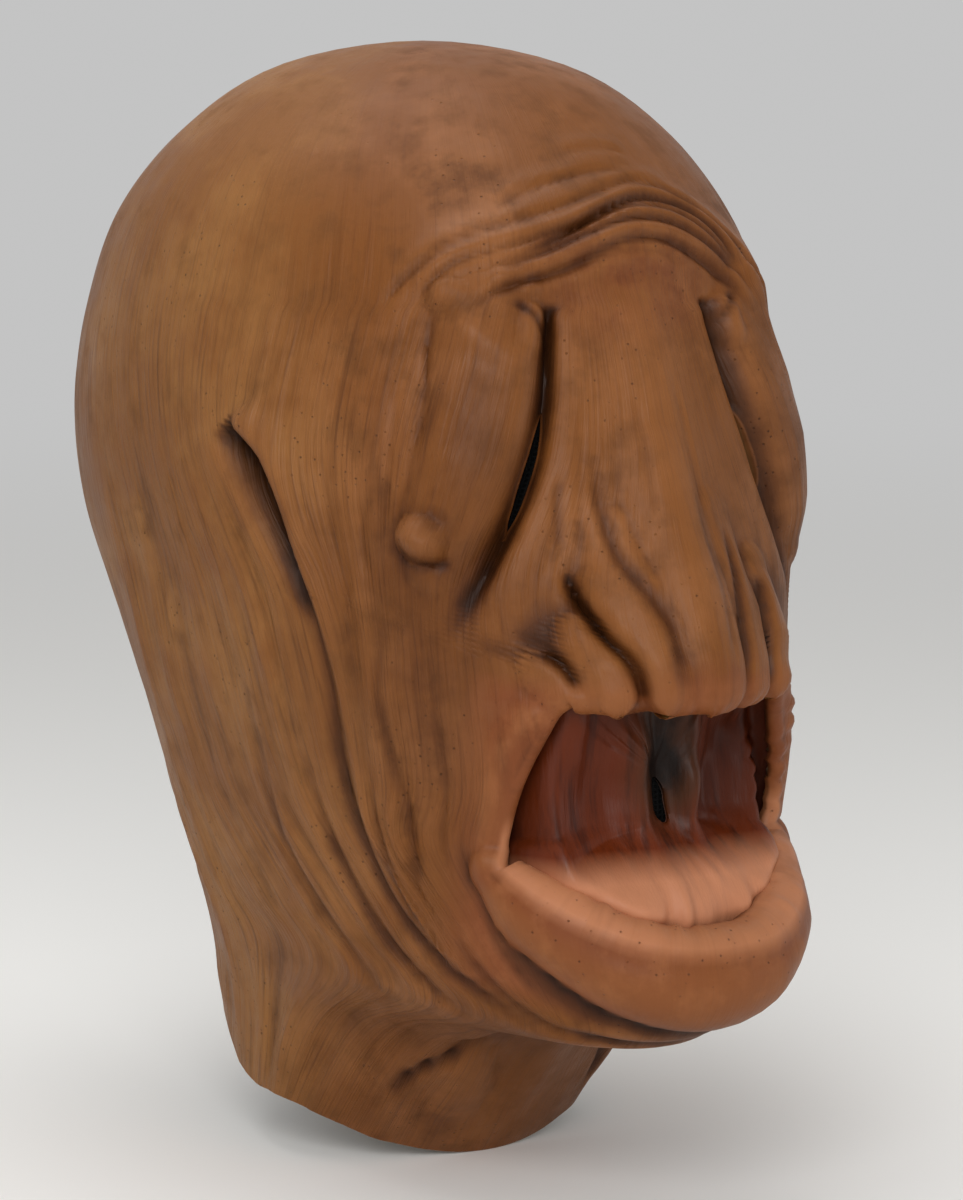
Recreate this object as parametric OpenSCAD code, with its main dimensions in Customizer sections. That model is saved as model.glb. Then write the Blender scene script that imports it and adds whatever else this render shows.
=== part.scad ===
// Overhead latex mask: one long cast skin with a gaping mouth, a pouch behind the lips,
// see-through scrims, foam fitting pads and a snap tab that closes the slit at the nape.
// Front is -Y and up is +Z. The origin is where the crown of the wearer's head touches the crown pad.

/* [Skin] */
// Width of the head over the cheeks
head_w = 206; // [175:1:240]
// Depth from the lower lip's base to the back of the head
head_d = 300; // [255:1:345]
// Height from the front of the neck edge to the crown
head_h = 350; // [300:1:410]
// Thickness of the cast latex
skin_t = 2.6; // [2:0.1:4]

/* [Face] */
// Half width of the mouth opening, in degrees round the head
mouth_half = 33; // [28:1:36]
// How far the lower lip stands out
lip_proud = 13; // [8:1:16]
// How far the nose stands out
nose_proud = 8; // [3:0.5:10]
// Depth of the drooping furrow that each eye slit lies in
eye_furrow = 9; // [5:0.5:11]
// How far the bags under the eyes stand out
bag_proud = 5; // [2:0.5:7]
// Depth of the fold that stands for an ear
ear_fold = 5; // [2:0.5:6]
// Width of each eye slit
eye_slit_w = 3.6; // [2.6:0.2:4.4]
// Depth of the pouch behind the lips
pouch_depth = 20; // [16:1:40]
// Thickness of the pouch
pouch_t = 1.6; // [1.2:0.1:2.2]

/* [Fitting pads] */
// Thickness of the crown pad
crown_pad_t = 14; // [8:1:20]
// Thickness of the brow, temple and back pads
side_pad_t = 10; // [6:1:14]
// Thickness of the chin pad
chin_pad_t = 12; // [8:1:16]

/* [Closure] */
// Height of the slit's top end above the neck edge's lowest point
slit_top = 205; // [190:1:215]
// Width of the cut
slit_gap = 2; // [1.8:0.1:2.6]
// Half the width of the two flaps at the height of the throat
flap_half = 46; // [40:1:48]
// Height of the snap tab
tab_h = 22; // [18:1:26]
// Thickness of the snap tab
tab_t = 1.8; // [1.4:0.1:2.4]
// Radius of the snap's cap and post heads
snap_r = 6; // [5:0.25:7]

/* [Hidden] */

latex = [0.55, 0.34, 0.2];
latex_pink = [0.62, 0.38, 0.27];
foam = [0.2, 0.2, 0.22];
gauze = [0.78, 0.74, 0.64];
mesh_black = [0.03, 0.03, 0.03];
nickel = [0.72, 0.72, 0.7];

glue = 0.6;        // gap between the skin and what is glued inside it
scrim_gap = 1.5;   // the same behind the eye furrows, where the skin curves sharply
scrim_t = 0.8;     // thickness of a scrim
gauze_t = 1.0;     // thickness of gauze soaked in latex
running = 0.15;    // radial clearance round a snap or rivet barrel
jaw_gap = 0.8;     // width of the cut between head skin and jaw skin
far = 400;         // further than any point of the mask

// The form: each row is a level from the crown to the neck edge.
// Columns: height in front, at the sides and behind; half width; reach in front and behind.
form_w = 206;
form_d = 300;
form_h = 350;
form = [
    [350, 350, 350,   0,   0,   0],   // crown
    [342, 342, 342,  44,  52,  52],
    [322, 322, 322,  73,  84,  86],
    [296, 296, 296,  91, 107, 113],   // brow
    [266, 264, 264, 100, 120, 129],   // bridge of the nose
    [234, 234, 232, 103, 131, 135],   // widest level
    [205, 208, 200, 101, 138, 131],
    [178, 183, 170,  96, 145, 118],   // tip of the nose
    [150, 156, 147,  90, 150, 104],   // top of the mouth
    [118, 128, 130,  83, 151,  94],
    [ 88, 100, 120,  76, 152,  89],   // lower lip
    [ 56,  72, 116,  68, 141,  86],   // chin
    [ 48,  48, 113,  62,  80,  84],   // crease under the chin
    [  0,  20, 110,  60,  38,  83]];  // neck edge

skin_levels = 39;
skin_columns = 72;
mouth_t = 0.66;         // level of the mouth's centre, from 0 at the crown to 1 at the neck edge
mouth_rt = 0.075;       // half height of the mouth opening, in levels
lip_t = 0.775;
eye_top_t = 0.29;
eye_end_t = 0.5;
slit_patch_t = 0.445;    // level of the lower edge of the patch over the slit's top end
slit_from_t = 0.35;
slit_to_t = 0.475;
eye_mid_t = 0.39;
eye_mid_a = 21.2;
mm_per_degree = 2.2;    // round the face at the eyes
eye_slope = 80;         // degrees that the eye line moves outwards per unit of level
tab_level = 0.677;
root_a = 169;           // angles round the head, 180 at the slit
rivet_a = 171.4;
tab_fold_a = 174;
snap_a = 187.9;
tab_end_a = 193.8;
seat_z = head_h - skin_t - glue - crown_pad_t;

// ---- the surface ----

function spline(p, q, r, s, u) =
    0.5 * (2*q + (r - p)*u + (2*p - 5*q + 4*r - s)*u*u + (3*q - p - 3*r + s)*u*u*u);

function row(i) =
    i < 0 ? [form[1][0], form[1][1], form[1][2], -form[1][3], -form[1][4], -form[1][5]]
    : i >= len(form) ? 2*form[len(form) - 1] - form[len(form) - 2]
    : form[i];

function level(t) =
    let (n = len(form) - 1, s = min(max(t, 0), 1)*n, i = min(floor(s), n - 1))
    spline(row(i - 1), row(i), row(i + 1), row(i + 2), s - i);

function smoothstep(a, b, x) =
    let (u = min(max((x - a)/(b - a), 0), 1)) u*u*(3 - 2*u);

function hill(x, half) = exp(-(x/half)*(x/half));

function form_point(t, a) =
    let (r = level(t), c = cos(a), end = c > 0 ? r[0] : r[2])
    [r[3]*sin(a)*head_w/form_w,
     (c > 0 ? -r[4]*c : -r[5]*c)*head_d/form_d,
     (r[1] + (end - r[1])*c*c)*head_h/form_h];

// Distance round the front from the middle, in degrees, 0 to 180.
function off_front(a) = let (b = (a % 360 + 360) % 360) min(b, 360 - b);

function eye_line(t) = eye_mid_a + eye_slope*(t - eye_mid_t);

function nose(t, a) =
    nose_proud*hill(off_front(a), 9 + 60*max(t - 0.3, 0))
    *smoothstep(0.26, 0.46, t)*(1 - smoothstep(0.56, 0.6, t));

function furrow(t, a) =
    -eye_furrow*hill(off_front(a) - eye_line(t), 6)
    *smoothstep(eye_top_t - 0.03, eye_top_t + 0.05, t)*(1 - smoothstep(eye_end_t - 0.06, eye_end_t + 0.02, t));

function bag(t, a) =
    bag_proud*hill(off_front(a) - eye_line(t) - 12, 7)
    *smoothstep(0.28, 0.36, t)*(1 - smoothstep(0.45, 0.52, t));

function brow(t, a) = 3*hill(t - 0.26, 0.03)*(1 - smoothstep(30, 60, off_front(a)));

function ear(t, a) =
    -ear_fold*hill(off_front(a) - 68 + 50*(t - 0.387), 6)
    *smoothstep(0.35, 0.41, t)*(1 - smoothstep(0.52, 0.58, t));

function lip(t, a) = lip_proud*hill(t - lip_t, 0.035)*(1 - smoothstep(20, 60, off_front(a)));

function relief(t, a) = nose(t, a) + furrow(t, a) + bag(t, a) + brow(t, a) + ear(t, a) + lip(t, a);

function unit(v) = v/norm(v);

function form_normal(t, a) =
    t < 0.01 ? [0, 0, 1]
    : unit(cross(form_point(t, a + 0.5) - form_point(t, a - 0.5),
                 form_point(t - 0.004, a) - form_point(t + 0.004, a)));

// A point of the skin's outer face, moved outwards by off.
function skin_point(t, a, off) = form_point(t, a) + (relief(t, a) + off)*form_normal(t, a);

// Angles that are closer together round the face than round the back,
// and that follow the eye furrows down.
function spread_angle(u, t) =
    let (a = 360*u - 24*sin(360*u),
         drift = eye_slope*(min(max(t, eye_top_t), eye_end_t) - eye_mid_t))
    a + (a > 180 ? -1 : 1)*drift*hill(off_front(a) - eye_mid_a, 13);

// ---- closed solids on the surface ----

function quad(a, b, c, d) = [[a, b, c], [a, c, d]];
function join(lists) = [for (list = lists) for (item = list) item];

// A piece of even thickness on the surface, between two levels and two angles.
// lift(u) raises it along its width: 0 at a0 and full at a1.
module patch(t0, t1, a0, a1, nt, na, off_out, off_in, lift = 0) {
    m = na + 1;
    n = (nt + 1)*m;
    function at(i, j, off) =
        let (u = j/na)
        skin_point(t0 + (t1 - t0)*i/nt, a0 + (a1 - a0)*u, off + lift*smoothstep(0.25, 0.6, u));
    points = concat([for (i = [0:nt]) for (j = [0:na]) at(i, j, off_out)],
                    [for (i = [0:nt]) for (j = [0:na]) at(i, j, off_in)]);
    faces = join([
        join([for (i = [0:nt - 1]) for (j = [0:na - 1])
            let (a = i*m + j) quad(a, a + 1, a + m + 1, a + m)]),
        join([for (i = [0:nt - 1]) for (j = [0:na - 1])
            let (a = n + i*m + j) quad(a, a + m, a + m + 1, a + 1)]),
        join([for (j = [0:na - 1])
            join([quad(j + 1, j, n + j, n + j + 1),
                  let (b = nt*m + j) quad(b, b + 1, n + b + 1, n + b)])]),
        join([for (i = [0:nt - 1])
            join([let (a = i*m) quad(a, a + m, n + a + m, n + a),
                  let (b = i*m + na) quad(b + m, b, n + b, n + b + m)])])]);
    polyhedron(points, faces);
}

// A cap from the crown down to a level, closed at its edge.
module cap(t1, nt, na, off_out, off_in) {
    n = nt*na + 1;
    function ring(off) = concat(
        [skin_point(0, 0, off)],
        [for (i = [1:nt]) for (j = [0:na - 1]) skin_point(t1*i/nt, spread_angle(j/na, t1*i/nt), off)]);
    function id(i, j) = 1 + (i - 1)*na + j % na;
    faces = join([
        [for (j = [0:na - 1]) [0, id(1, j + 1), id(1, j)]],
        [for (j = [0:na - 1]) [n, n + id(1, j), n + id(1, j + 1)]],
        join([for (i = [1:nt - 1]) for (j = [0:na - 1])
            quad(id(i, j), id(i, j + 1), id(i + 1, j + 1), id(i + 1, j))]),
        join([for (i = [1:nt - 1]) for (j = [0:na - 1])
            quad(n + id(i, j), n + id(i + 1, j), n + id(i + 1, j + 1), n + id(i, j + 1))]),
        join([for (j = [0:na - 1])
            quad(id(nt, j), id(nt, j + 1), n + id(nt, j + 1), n + id(nt, j))])]);
    polyhedron(concat(ring(off_out), ring(off_in)), faces);
}

// A plug through the skin with an outline given as [level, angle] points, clockwise from outside.
module plug(outline, off_out, off_in) {
    n = len(outline);
    mid = [for (k = [0, 1]) [for (p = outline) p[k]]*[for (p = outline) 1]/n];
    points = concat(
        [for (p = outline) skin_point(p[0], p[1], off_out)], [skin_point(mid[0], mid[1], off_out)],
        [for (p = outline) skin_point(p[0], p[1], off_in)], [skin_point(mid[0], mid[1], off_in)]);
    faces = join([for (k = [0:n - 1])
        let (l = (k + 1) % n, b = n + 1)
        join([[[n, k, l], [b + n, b + l, b + k]], quad(l, k, b + k, b + l)])]);
    polyhedron(points, faces);
}

// Stands its children on the skin, with +Z along the outward normal.
module on_skin(t, a, off) {
    v = form_normal(t, a);
    translate(skin_point(t, a, off))
        rotate([0, acos(v[2]), atan2(v[1], v[0])])
            children();
}

// Puts the origin at the head seat.
module seated() {
    translate([0, 0, -seat_z]) children();
}

// ---- openings and cuts ----

function blunt(v) = sign(v)*pow(abs(v), 0.75);

// The mouth's outline at a share q of its full size; the pouch narrows from it to the breathing slit.
function mouth_at(phi, q, slit = 0) =
    let (rt = mouth_rt*q*(1 - slit) + 0.022*slit, ra = mouth_half*q*(1 - slit) + 1.0*slit)
    [mouth_t - rt*blunt(cos(phi)), ra*blunt(sin(phi))];

module mouth_opening() {
    plug([for (k = [0:47]) mouth_at(k*7.5, 1)], 24, -24);
}

function eye_slit_outline(side) =
    let (mid = (slit_from_t + slit_to_t)/2, half = (slit_to_t - slit_from_t)/2,
         wide = eye_slit_w/2/mm_per_degree)
    [for (k = [0:15])
        let (phi = k*22.5*side, t = mid - half*cos(phi))
        [t, side*eye_line(t) + wide*sin(phi)]];

module eye_openings() {
    for (side = [-1, 1])
        plug(side > 0 ? eye_slit_outline(1) : reverse(eye_slit_outline(-1)), 6, -8);
}

function reverse(list) = [for (k = [len(list) - 1:-1:0]) list[k]];

// The jaw is what lies in front of and below the mouth's corners, from the crease under the chin.
jaw_hinge_y = -80*head_d/form_d;
jaw_hinge_z = 47*head_h/form_h;
jaw_corner_y = -104*head_d/form_d;
jaw_corner_z = 104*head_h/form_h;

module jaw_space(gap) {
    rotate([90, 0, 90])
        linear_extrude(height = 2*far, center = true)
            polygon([[jaw_hinge_y + gap, -far], [jaw_hinge_y + gap, jaw_hinge_z],
                     [jaw_corner_y + gap, jaw_corner_z + gap], [-far, jaw_corner_z + gap],
                     [-far, -far]]);
}

flap_z = 47*head_h/form_h;      // height of the flap's lower hinge point

flap_top_z = (slit_top - 12)*head_h/form_h;   // the slit's last stretch is too narrow to bend

// The triangle between the slit, the neck edge and the line that a flap bends on.
module flap_space(side, inner, outer) {
    x0 = inner;
    x1 = flap_half*head_w/form_w + outer;
    slope = x1/(slit_top*head_h/form_h - flap_z);
    z1 = slit_top*head_h/form_h + outer*2;
    top = flap_top_z + outer;
    mirror([side > 0 ? 0 : 1, 0, 0])
        translate([0, far, 0])
            rotate([90, 0, 0])
                linear_extrude(height = far)
                    polygon([[x0, -far], [x1 + slope*(far/2), flap_z - far/2], [x1, flap_z],
                             [(z1 - top)*slope, top], [x0, top]]);
}

module slit_cut() {
    translate([-slit_gap/2, 0, -far])
        cube([slit_gap, far, far + slit_top*head_h/form_h]);
}

module whole_skin() {
    difference() {
        cap(1, skin_levels, skin_columns, 0, -skin_t);
        mouth_opening();
        eye_openings();
    }
}

// ---- latex ----

module head_skin() {
    color(latex) seated() difference() {
        whole_skin();
        jaw_space(0);
        flap_space(1, -0.1, slit_gap);
        flap_space(-1, -0.1, slit_gap);
        slit_cut();
    }
}

module jaw_skin() {
    color(latex_pink) seated() intersection() {
        whole_skin();
        jaw_space(-jaw_gap);
    }
}

module flap(side) {
    color(latex) seated() difference() {
        intersection() {
            whole_skin();
            flap_space(side, slit_gap/2, 0);
        }
        if (side < 0) snap_hole(snap_barrel_r + running);
    }
}

module mouth_pouch() {
    // Share of the mouth's size, share of the way to the slit, and share of the depth.
    rings = [[1.14, 0, 0], [1.03, 0, 0], [0.97, 0, 0.06], [0.93, 0.01, 0.25], [0.88, 0.03, 0.5],
             [0.77, 0.1, 0.74], [0.56, 0.3, 0.9], [0.3, 0.62, 0.97], [0.1, 1, 1]];
    steps = 36;
    count = len(rings);
    n = count*steps;
    reach = 45;     // the mouth's mean half width and height, in mm
    function profile(i) = [rings[i][0]*reach, rings[i][2]*pouch_depth];
    function away(i) =
        let (v = profile(min(i + 1, count - 1)) - profile(max(i - 1, 0))) [v[1], -v[0]]/norm(v);
    function at(i, k, thick) =
        let (shift = i == count - 1 ? [0, thick] : away(i)*thick,
             p = mouth_at(k*360/steps, rings[i][0] + shift[0]/reach, rings[i][1]))
        skin_point(p[0], p[1], -skin_t - glue) + [0, profile(i)[1] + shift[1], 0];
    points = concat([for (i = [0:count - 1]) for (k = [0:steps - 1]) at(i, k, 0)],
                    [for (i = [0:count - 1]) for (k = [0:steps - 1]) at(i, k, pouch_t)]);
    last = (count - 1)*steps;
    faces = join([for (k = [0:steps - 1])
        let (l = (k + 1) % steps)
        join([join([for (i = [0:count - 2])
                let (a = i*steps + k, b = i*steps + l)
                concat(quad(a, b, b + steps, a + steps),
                       quad(n + a, n + a + steps, n + b + steps, n + b))]),
              quad(l, k, n + k, n + l),
              quad(last + k, last + l, n + last + l, n + last + k)])]);
    color(latex_pink) seated() polyhedron(points, faces);
}

// ---- scrims, gauze and foam ----

module eye_scrim(side) {
    color(mesh_black) seated()
        patch(slit_from_t - 0.022, slit_to_t + 0.022,
              side*eye_line((slit_from_t + slit_to_t)/2) - 12, side*eye_line((slit_from_t + slit_to_t)/2) + 12,
              16, 20, -skin_t - scrim_gap, -skin_t - scrim_gap - scrim_t);
}

module mouth_scrim() {
    color(mesh_black) seated()
        translate(skin_point(mouth_t, 0, -skin_t - glue) + [0, pouch_depth + pouch_t + glue, 0])
            rotate([-90, 0, 0])
                linear_extrude(height = scrim_t)
                    offset(r = 3, $fn = 24) square([8, 22], center = true);
}

module skin_pad(t0, t1, a0, a1, thick) {
    color(foam) seated()
        patch(t0, t1, a0, a1, 12, 12, -skin_t - glue, -skin_t - glue - thick);
}

module crown_pad() {
    color(foam) seated() cap(0.11, 4, 24, -skin_t - glue, -skin_t - glue - crown_pad_t);
}

chin_row = 33;     // the row of the skin's facets that the chin pad covers, flat against them

module chin_pad() {
    color(foam) seated()
        patch(chin_row/skin_levels, (chin_row + 1)/skin_levels, -22, 22, 1, 12,
              -skin_t - glue, -skin_t - glue - chin_pad_t);
}

module slit_patch() {
    color(gauze) seated()
        patch(slit_patch_t - 0.05, slit_patch_t, 172, 188, 3, 4, -skin_t - glue, -skin_t - glue - gauze_t);
}

module neck_band() {
    color(gauze) seated()
        patch(0.955, 0.995, -112, 112, 2, 28, -skin_t - glue, -skin_t - glue - gauze_t);
}

// ---- closure ----

snap_barrel_r = 2;
snap_lift = 3.4;      // how far the tab stands off the right flap, for the socket and stud
tab_off = 0.6;        // how far the tab's root stands off the left flap
head_t = 1.2;         // thickness of the rivet, cap and post heads
tab_t0 = tab_level - tab_h/450;
tab_t1 = tab_level + tab_h/450;

module snap_hole(r) {
    on_skin(tab_level, snap_a, 0) translate([0, 0, -8]) cylinder(r = r, h = 20, $fn = 32);
}

module tab_root() {
    color(latex) seated()
        patch(tab_t0, tab_t1, root_a, tab_fold_a - 0.4, 4, 4, tab_off + tab_t, tab_off);
}

module tab() {
    color(latex) seated() difference() {
        patch(tab_t0, tab_t1, tab_fold_a, tab_end_a, 4, 14, tab_off + tab_t, tab_off, snap_lift);
        snap_hole(snap_barrel_r + running);
    }
}

module tab_rivets() {
    color(nickel) seated()
        for (level = [tab_level - 0.022, tab_level + 0.022])
            on_skin(level, rivet_a, tab_off + tab_t + 0.3)
                rotate_extrude($fn = 32)
                    polygon([[0, 0], [2.6, 0], [2.6, 0.4], [1.6, head_t], [0, head_t]]);
}

module snap_cap() {
    top = tab_off + snap_lift + tab_t + 0.3;
    color(nickel) seated() on_skin(tab_level, snap_a, top)
        rotate_extrude($fn = 48)
            polygon([[0, -tab_t - 0.6], [snap_barrel_r, -tab_t - 0.6], [snap_barrel_r, 0], [snap_r, 0],
                     [snap_r, 0.5], [snap_r - 1.5, head_t], [0, head_t + 0.3]]);
}

module snap_socket() {
    color(nickel) seated() on_skin(tab_level, snap_a, tab_off + 0.6)
        rotate_extrude($fn = 48)
            polygon([[2.9, 0], [snap_r - 1, 0], [snap_r - 0.5, 0.6], [snap_r - 0.5, snap_lift - 1.3],
                     [2.9, snap_lift - 1.3]]);
}

module snap_stud() {
    color(nickel) seated() on_skin(tab_level, snap_a, 0.25)
        rotate_extrude($fn = 48)
            polygon([[0, 0], [snap_r - 0.5, 0], [snap_r - 0.5, 0.5], [2.3, 0.7], [2.6, 1.8], [2.1, 2.5], [0, 2.5]]);
}

module snap_post() {
    color(nickel) seated() on_skin(tab_level, snap_a, -skin_t - 0.3)
        rotate_extrude($fn = 48)
            polygon([[0, -head_t], [snap_r - 0.5, -head_t], [snap_r, 0], [snap_barrel_r, 0],
                     [snap_barrel_r, skin_t + 0.3], [0, skin_t + 0.3]]);
}

head_skin();
jaw_skin();
flap(1);  // left_flap
flap(-1);  // right_flap
mouth_pouch();
eye_scrim(1);  // left_eye_scrim
eye_scrim(-1);  // right_eye_scrim
mouth_scrim();
crown_pad();
skin_pad(0.17, 0.245, -32, 32, side_pad_t);  // brow_pad
skin_pad(0.33, 0.5, 64, 100, side_pad_t);  // left_temple_pad
skin_pad(0.33, 0.5, -100, -64, side_pad_t);  // right_temple_pad
skin_pad(0.2, 0.32, 150, 210, side_pad_t);  // back_pad
chin_pad();
slit_patch();
neck_band();
tab_root();
tab();
tab_rivets();
snap_cap();
snap_socket();
snap_stud();
snap_post();
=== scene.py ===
import bpy
import math
import numpy as np
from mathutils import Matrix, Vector


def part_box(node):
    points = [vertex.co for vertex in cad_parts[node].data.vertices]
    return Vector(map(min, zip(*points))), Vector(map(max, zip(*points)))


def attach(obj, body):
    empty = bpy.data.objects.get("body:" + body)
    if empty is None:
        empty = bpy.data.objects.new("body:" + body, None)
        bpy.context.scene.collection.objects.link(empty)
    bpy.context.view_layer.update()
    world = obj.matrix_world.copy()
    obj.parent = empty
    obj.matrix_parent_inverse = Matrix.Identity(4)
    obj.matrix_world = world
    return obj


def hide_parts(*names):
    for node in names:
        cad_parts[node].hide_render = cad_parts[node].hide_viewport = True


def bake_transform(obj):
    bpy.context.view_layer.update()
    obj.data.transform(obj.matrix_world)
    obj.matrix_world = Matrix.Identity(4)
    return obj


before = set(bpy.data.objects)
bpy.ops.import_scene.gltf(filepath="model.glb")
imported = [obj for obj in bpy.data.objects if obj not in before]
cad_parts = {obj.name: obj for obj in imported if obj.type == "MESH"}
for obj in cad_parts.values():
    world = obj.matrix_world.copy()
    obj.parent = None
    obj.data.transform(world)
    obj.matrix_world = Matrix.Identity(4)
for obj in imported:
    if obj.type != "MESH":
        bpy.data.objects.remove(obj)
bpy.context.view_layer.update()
print("frame loaded")

mm = 0.001
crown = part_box("head_skin")[1].z / mm      # height of the crown over the head seat

# the form of the head, level by level from the crown to the neck edge:
# height in front, at the sides and behind; half width; reach in front and behind, in mm
headForm = {
    "rows": [
        [350, 350, 350, 0, 0, 0],
        [342, 342, 342, 44, 52, 52],
        [322, 322, 322, 73, 84, 86],
        [296, 296, 296, 91, 107, 113],
        [266, 264, 264, 100, 120, 129],
        [234, 234, 232, 103, 131, 135],
        [205, 208, 200, 101, 138, 131],
        [178, 183, 170, 96, 145, 118],
        [150, 156, 147, 90, 150, 104],
        [118, 128, 130, 83, 151, 94],
        [88, 100, 120, 76, 152, 89],
        [56, 72, 116, 68, 141, 86],
        [48, 48, 113, 62, 80, 84],
        [0, 20, 110, 60, 38, 83]],
    "thickness": 2.6,
    "columns": 352,
    "levels": 214,
}
formRows = np.array(headForm["rows"], float)
drop = formRows[0, 0] - crown              # from the form's own zero to the head seat


def levelRow(t):
    # Catmull-Rom through the rows; t is 0 at the crown and 1 at the neck edge
    last = len(formRows) - 1
    s = np.clip(t, 0, 1) * last
    i = np.minimum(s.astype(int), last - 1)
    u = (s - i)[..., None]
    above = formRows[1] * [1, 1, 1, -1, -1, -1]
    below = 2 * formRows[-1] - formRows[-2]
    table = np.vstack([above, formRows, below])
    p, q, r, w = table[i], table[i + 1], table[i + 2], table[i + 3]
    return 0.5 * (2*q + (r - p)*u + (2*p - 5*q + 4*r - w)*u*u + (3*q - p - 3*r + w)*u**3)


def formPoint(t, a):
    # an oval at each level: x = w sin a, y = -reach cos a; the height eases from side to front as cos squared
    t, a = np.broadcast_arrays(np.asarray(t, float), np.asarray(a, float))
    c, s = np.cos(np.radians(a)), np.sin(np.radians(a))
    r = levelRow(t)
    reach = np.where(c > 0, r[..., 4], r[..., 5])
    end = np.where(c > 0, r[..., 0], r[..., 2])
    return np.stack([r[..., 3]*s, -reach*c, r[..., 1] + (end - r[..., 1])*c*c], -1)


def unit(v):
    return v / np.maximum(np.linalg.norm(v, axis=-1, keepdims=True), 1e-9)


def formNormal(t, a):
    # across times up points outwards
    t = np.maximum(t, 0.002)
    across = formPoint(t, a + 0.5) - formPoint(t, a - 0.5)
    up = formPoint(t - 0.002, a) - formPoint(t + 0.002, a)
    return unit(np.cross(across, up))


def smooth(low, high, x):
    # 0 below low, 1 above high, eased between them
    u = np.clip((x - low) / (high - low), 0, 1)
    return u * u * (3 - 2*u)


def bell(x, middle, spread):
    # 1 at the middle, falling off as exp of minus the square
    return np.exp(-((x - middle)/spread)**2)


def curve(knots, count):
    # Catmull-Rom through a short list of knots
    k = np.array(knots, float)
    k = np.vstack([2*k[0] - k[1], k, 2*k[-1] - k[-2]]) if len(k) > 1 else np.repeat(k, 4, 0)
    s = np.linspace(0, max(len(k) - 3, 1) - 1e-6, count)
    i = s.astype(int)
    u = (s - i)[:, None]
    p, q, r, w = k[i], k[i + 1], k[i + 2], k[i + 3]
    return 0.5 * (2*q + (r - p)*u + (2*p - 5*q + 4*r - w)*u*u + (3*q - p - 3*r + w)*u**3)


def lattice(x, y, seed):
    # smooth value noise from -1 to 1: a hashed grid of random values, eased between its corners
    rng = np.random.default_rng(seed)
    table = rng.random((256, 256)) * 2 - 1
    ix, iy = np.floor(x).astype(int), np.floor(y).astype(int)
    u, v = x - ix, y - iy
    u, v = u*u*(3 - 2*u), v*v*(3 - 2*v)
    at = lambda i, j: table[(ix + i) % 256, (iy + j) % 256]
    return (at(0, 0)*(1 - u) + at(1, 0)*u)*(1 - v) + (at(0, 1)*(1 - u) + at(1, 1)*u)*v


# the sculpture: strokes on the form, each along a path of [level, angle] knots

def mirrored(path):
    return [[t, -a] for t, a in path]


def nearPath(points, normals, knots, reach):
    # distance to a path, share along it, side of it and direction to it, for the points within reach
    line = formPoint(*curve(knots, 26 if len(knots) > 1 else 2).T)
    low, high = line.min(0) - reach, line.max(0) + reach
    near = np.nonzero(((points > low) & (points < high)).all(-1))[0]
    p = points[near]
    best, along = np.full(len(p), 1e9), np.zeros(len(p))
    away, run = np.zeros((len(p), 3)), np.zeros((len(p), 3))
    for k, (start, end) in enumerate(zip(line[:-1], line[1:])):
        d = end - start
        u = np.clip((p - start) @ d / max(d @ d, 1e-9), 0, 1)
        gap = p - start - u[:, None]*d
        size = np.linalg.norm(gap, axis=1)
        closer = size < best
        best[closer], along[closer] = size[closer], (k + u[closer]) / (len(line) - 1)
        away[closer], run[closer] = gap[closer], d
    side = np.sign((np.cross(run, away) * normals[near]).sum(-1))
    return near, best, along, side, -unit(away)


def ease(value, along):
    # a size that may run from one value to another along its path
    if isinstance(value, tuple):
        return np.interp(along, np.linspace(0, 1, len(value)), value)
    return value


grooves = []        # cuts with banks
lobes = []          # bulges, of which the highest counts, so creases form between them
swells = []         # soft bulges and hollows that add up


# the wash strength sets how dark a groove is painted: a brown wash that is also painted shade, darkest where
# the groove is deepest
def groove(path, width, depth, bank=(0, 0), bankWidth=5.0, pull=(0, 0), ends=(0.25, 0.25), washAndShade=1.0,
           both=True):
    grooves.append((path, width, depth, bank, bankWidth, pull, ends, washAndShade))
    if both:
        flip = (bank[1], bank[0]), (pull[1], pull[0])
        grooves.append((mirrored(path), width, depth, flip[0], bankWidth, flip[1], ends, washAndShade))


def lobe(path, width, height, both=True):
    lobes.append((path, width, height))
    if both:
        lobes.append((mirrored(path), width, height))


def swell(path, width, height, both=True):
    swells.append((path, width, height))
    if both:
        swells.append((mirrored(path), width, height))


# brow: a ridge, and arcs of folded skin over it
swell([[0.26, -30], [0.24, -12], [0.232, 4], [0.245, 20], [0.272, 32]], 13, 3.5, both=False)
browArcs = [
    ([[0.262, -25], [0.245, -15], [0.222, -3], [0.212, 7], [0.222, 17], [0.25, 24], [0.29, 27]], 1.7, 3.0),
    ([[0.262, -28], [0.243, -18], [0.232, -8], [0.219, 3], [0.226, 14], [0.256, 23], [0.3, 28]], 1.5, 1.8),
    ([[0.268, -30], [0.256, -19], [0.24, -8], [0.229, 3], [0.238, 14], [0.27, 24], [0.31, 29]], 1.5, 2.0),
    ([[0.3, -31], [0.28, -25], [0.262, -12], [0.244, 0], [0.25, 11], [0.28, 22], [0.33, 28]], 1.6, 2.0),
    ([[0.275, -42], [0.246, -33], [0.23, -21], [0.21, -5], [0.195, 10], [0.21, 26]], 1.5, 1.0),
    ([[0.285, -38], [0.262, -32], [0.25, -24], [0.24, -15]], 1.4, 1.2),
    ([[0.225, -26], [0.2, -15], [0.188, -2], [0.186, 10]], 1.5, 0.9),
    ([[0.295, -45], [0.268, -39], [0.25, -32], [0.238, -24]], 1.4, 1.1),
    ([[0.2, 4], [0.203, 14], [0.225, 23], [0.26, 29], [0.3, 32]], 1.5, 1.6),
    ([[0.24, 25], [0.275, 30], [0.32, 33], [0.37, 36]], 1.5, 1.3),
    ([[0.17, -8], [0.166, 4], [0.172, 14]], 1.6, 0.5),
    ([[0.272, -16], [0.255, -5], [0.252, 5], [0.27, 15]], 1.3, 0.8)]
for path, width, depth in browArcs:
    groove(path, 0.9*width, 0.9*depth, bank=(0.7, 0.8), bankWidth=3.0, both=False, washAndShade=0.8)

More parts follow.
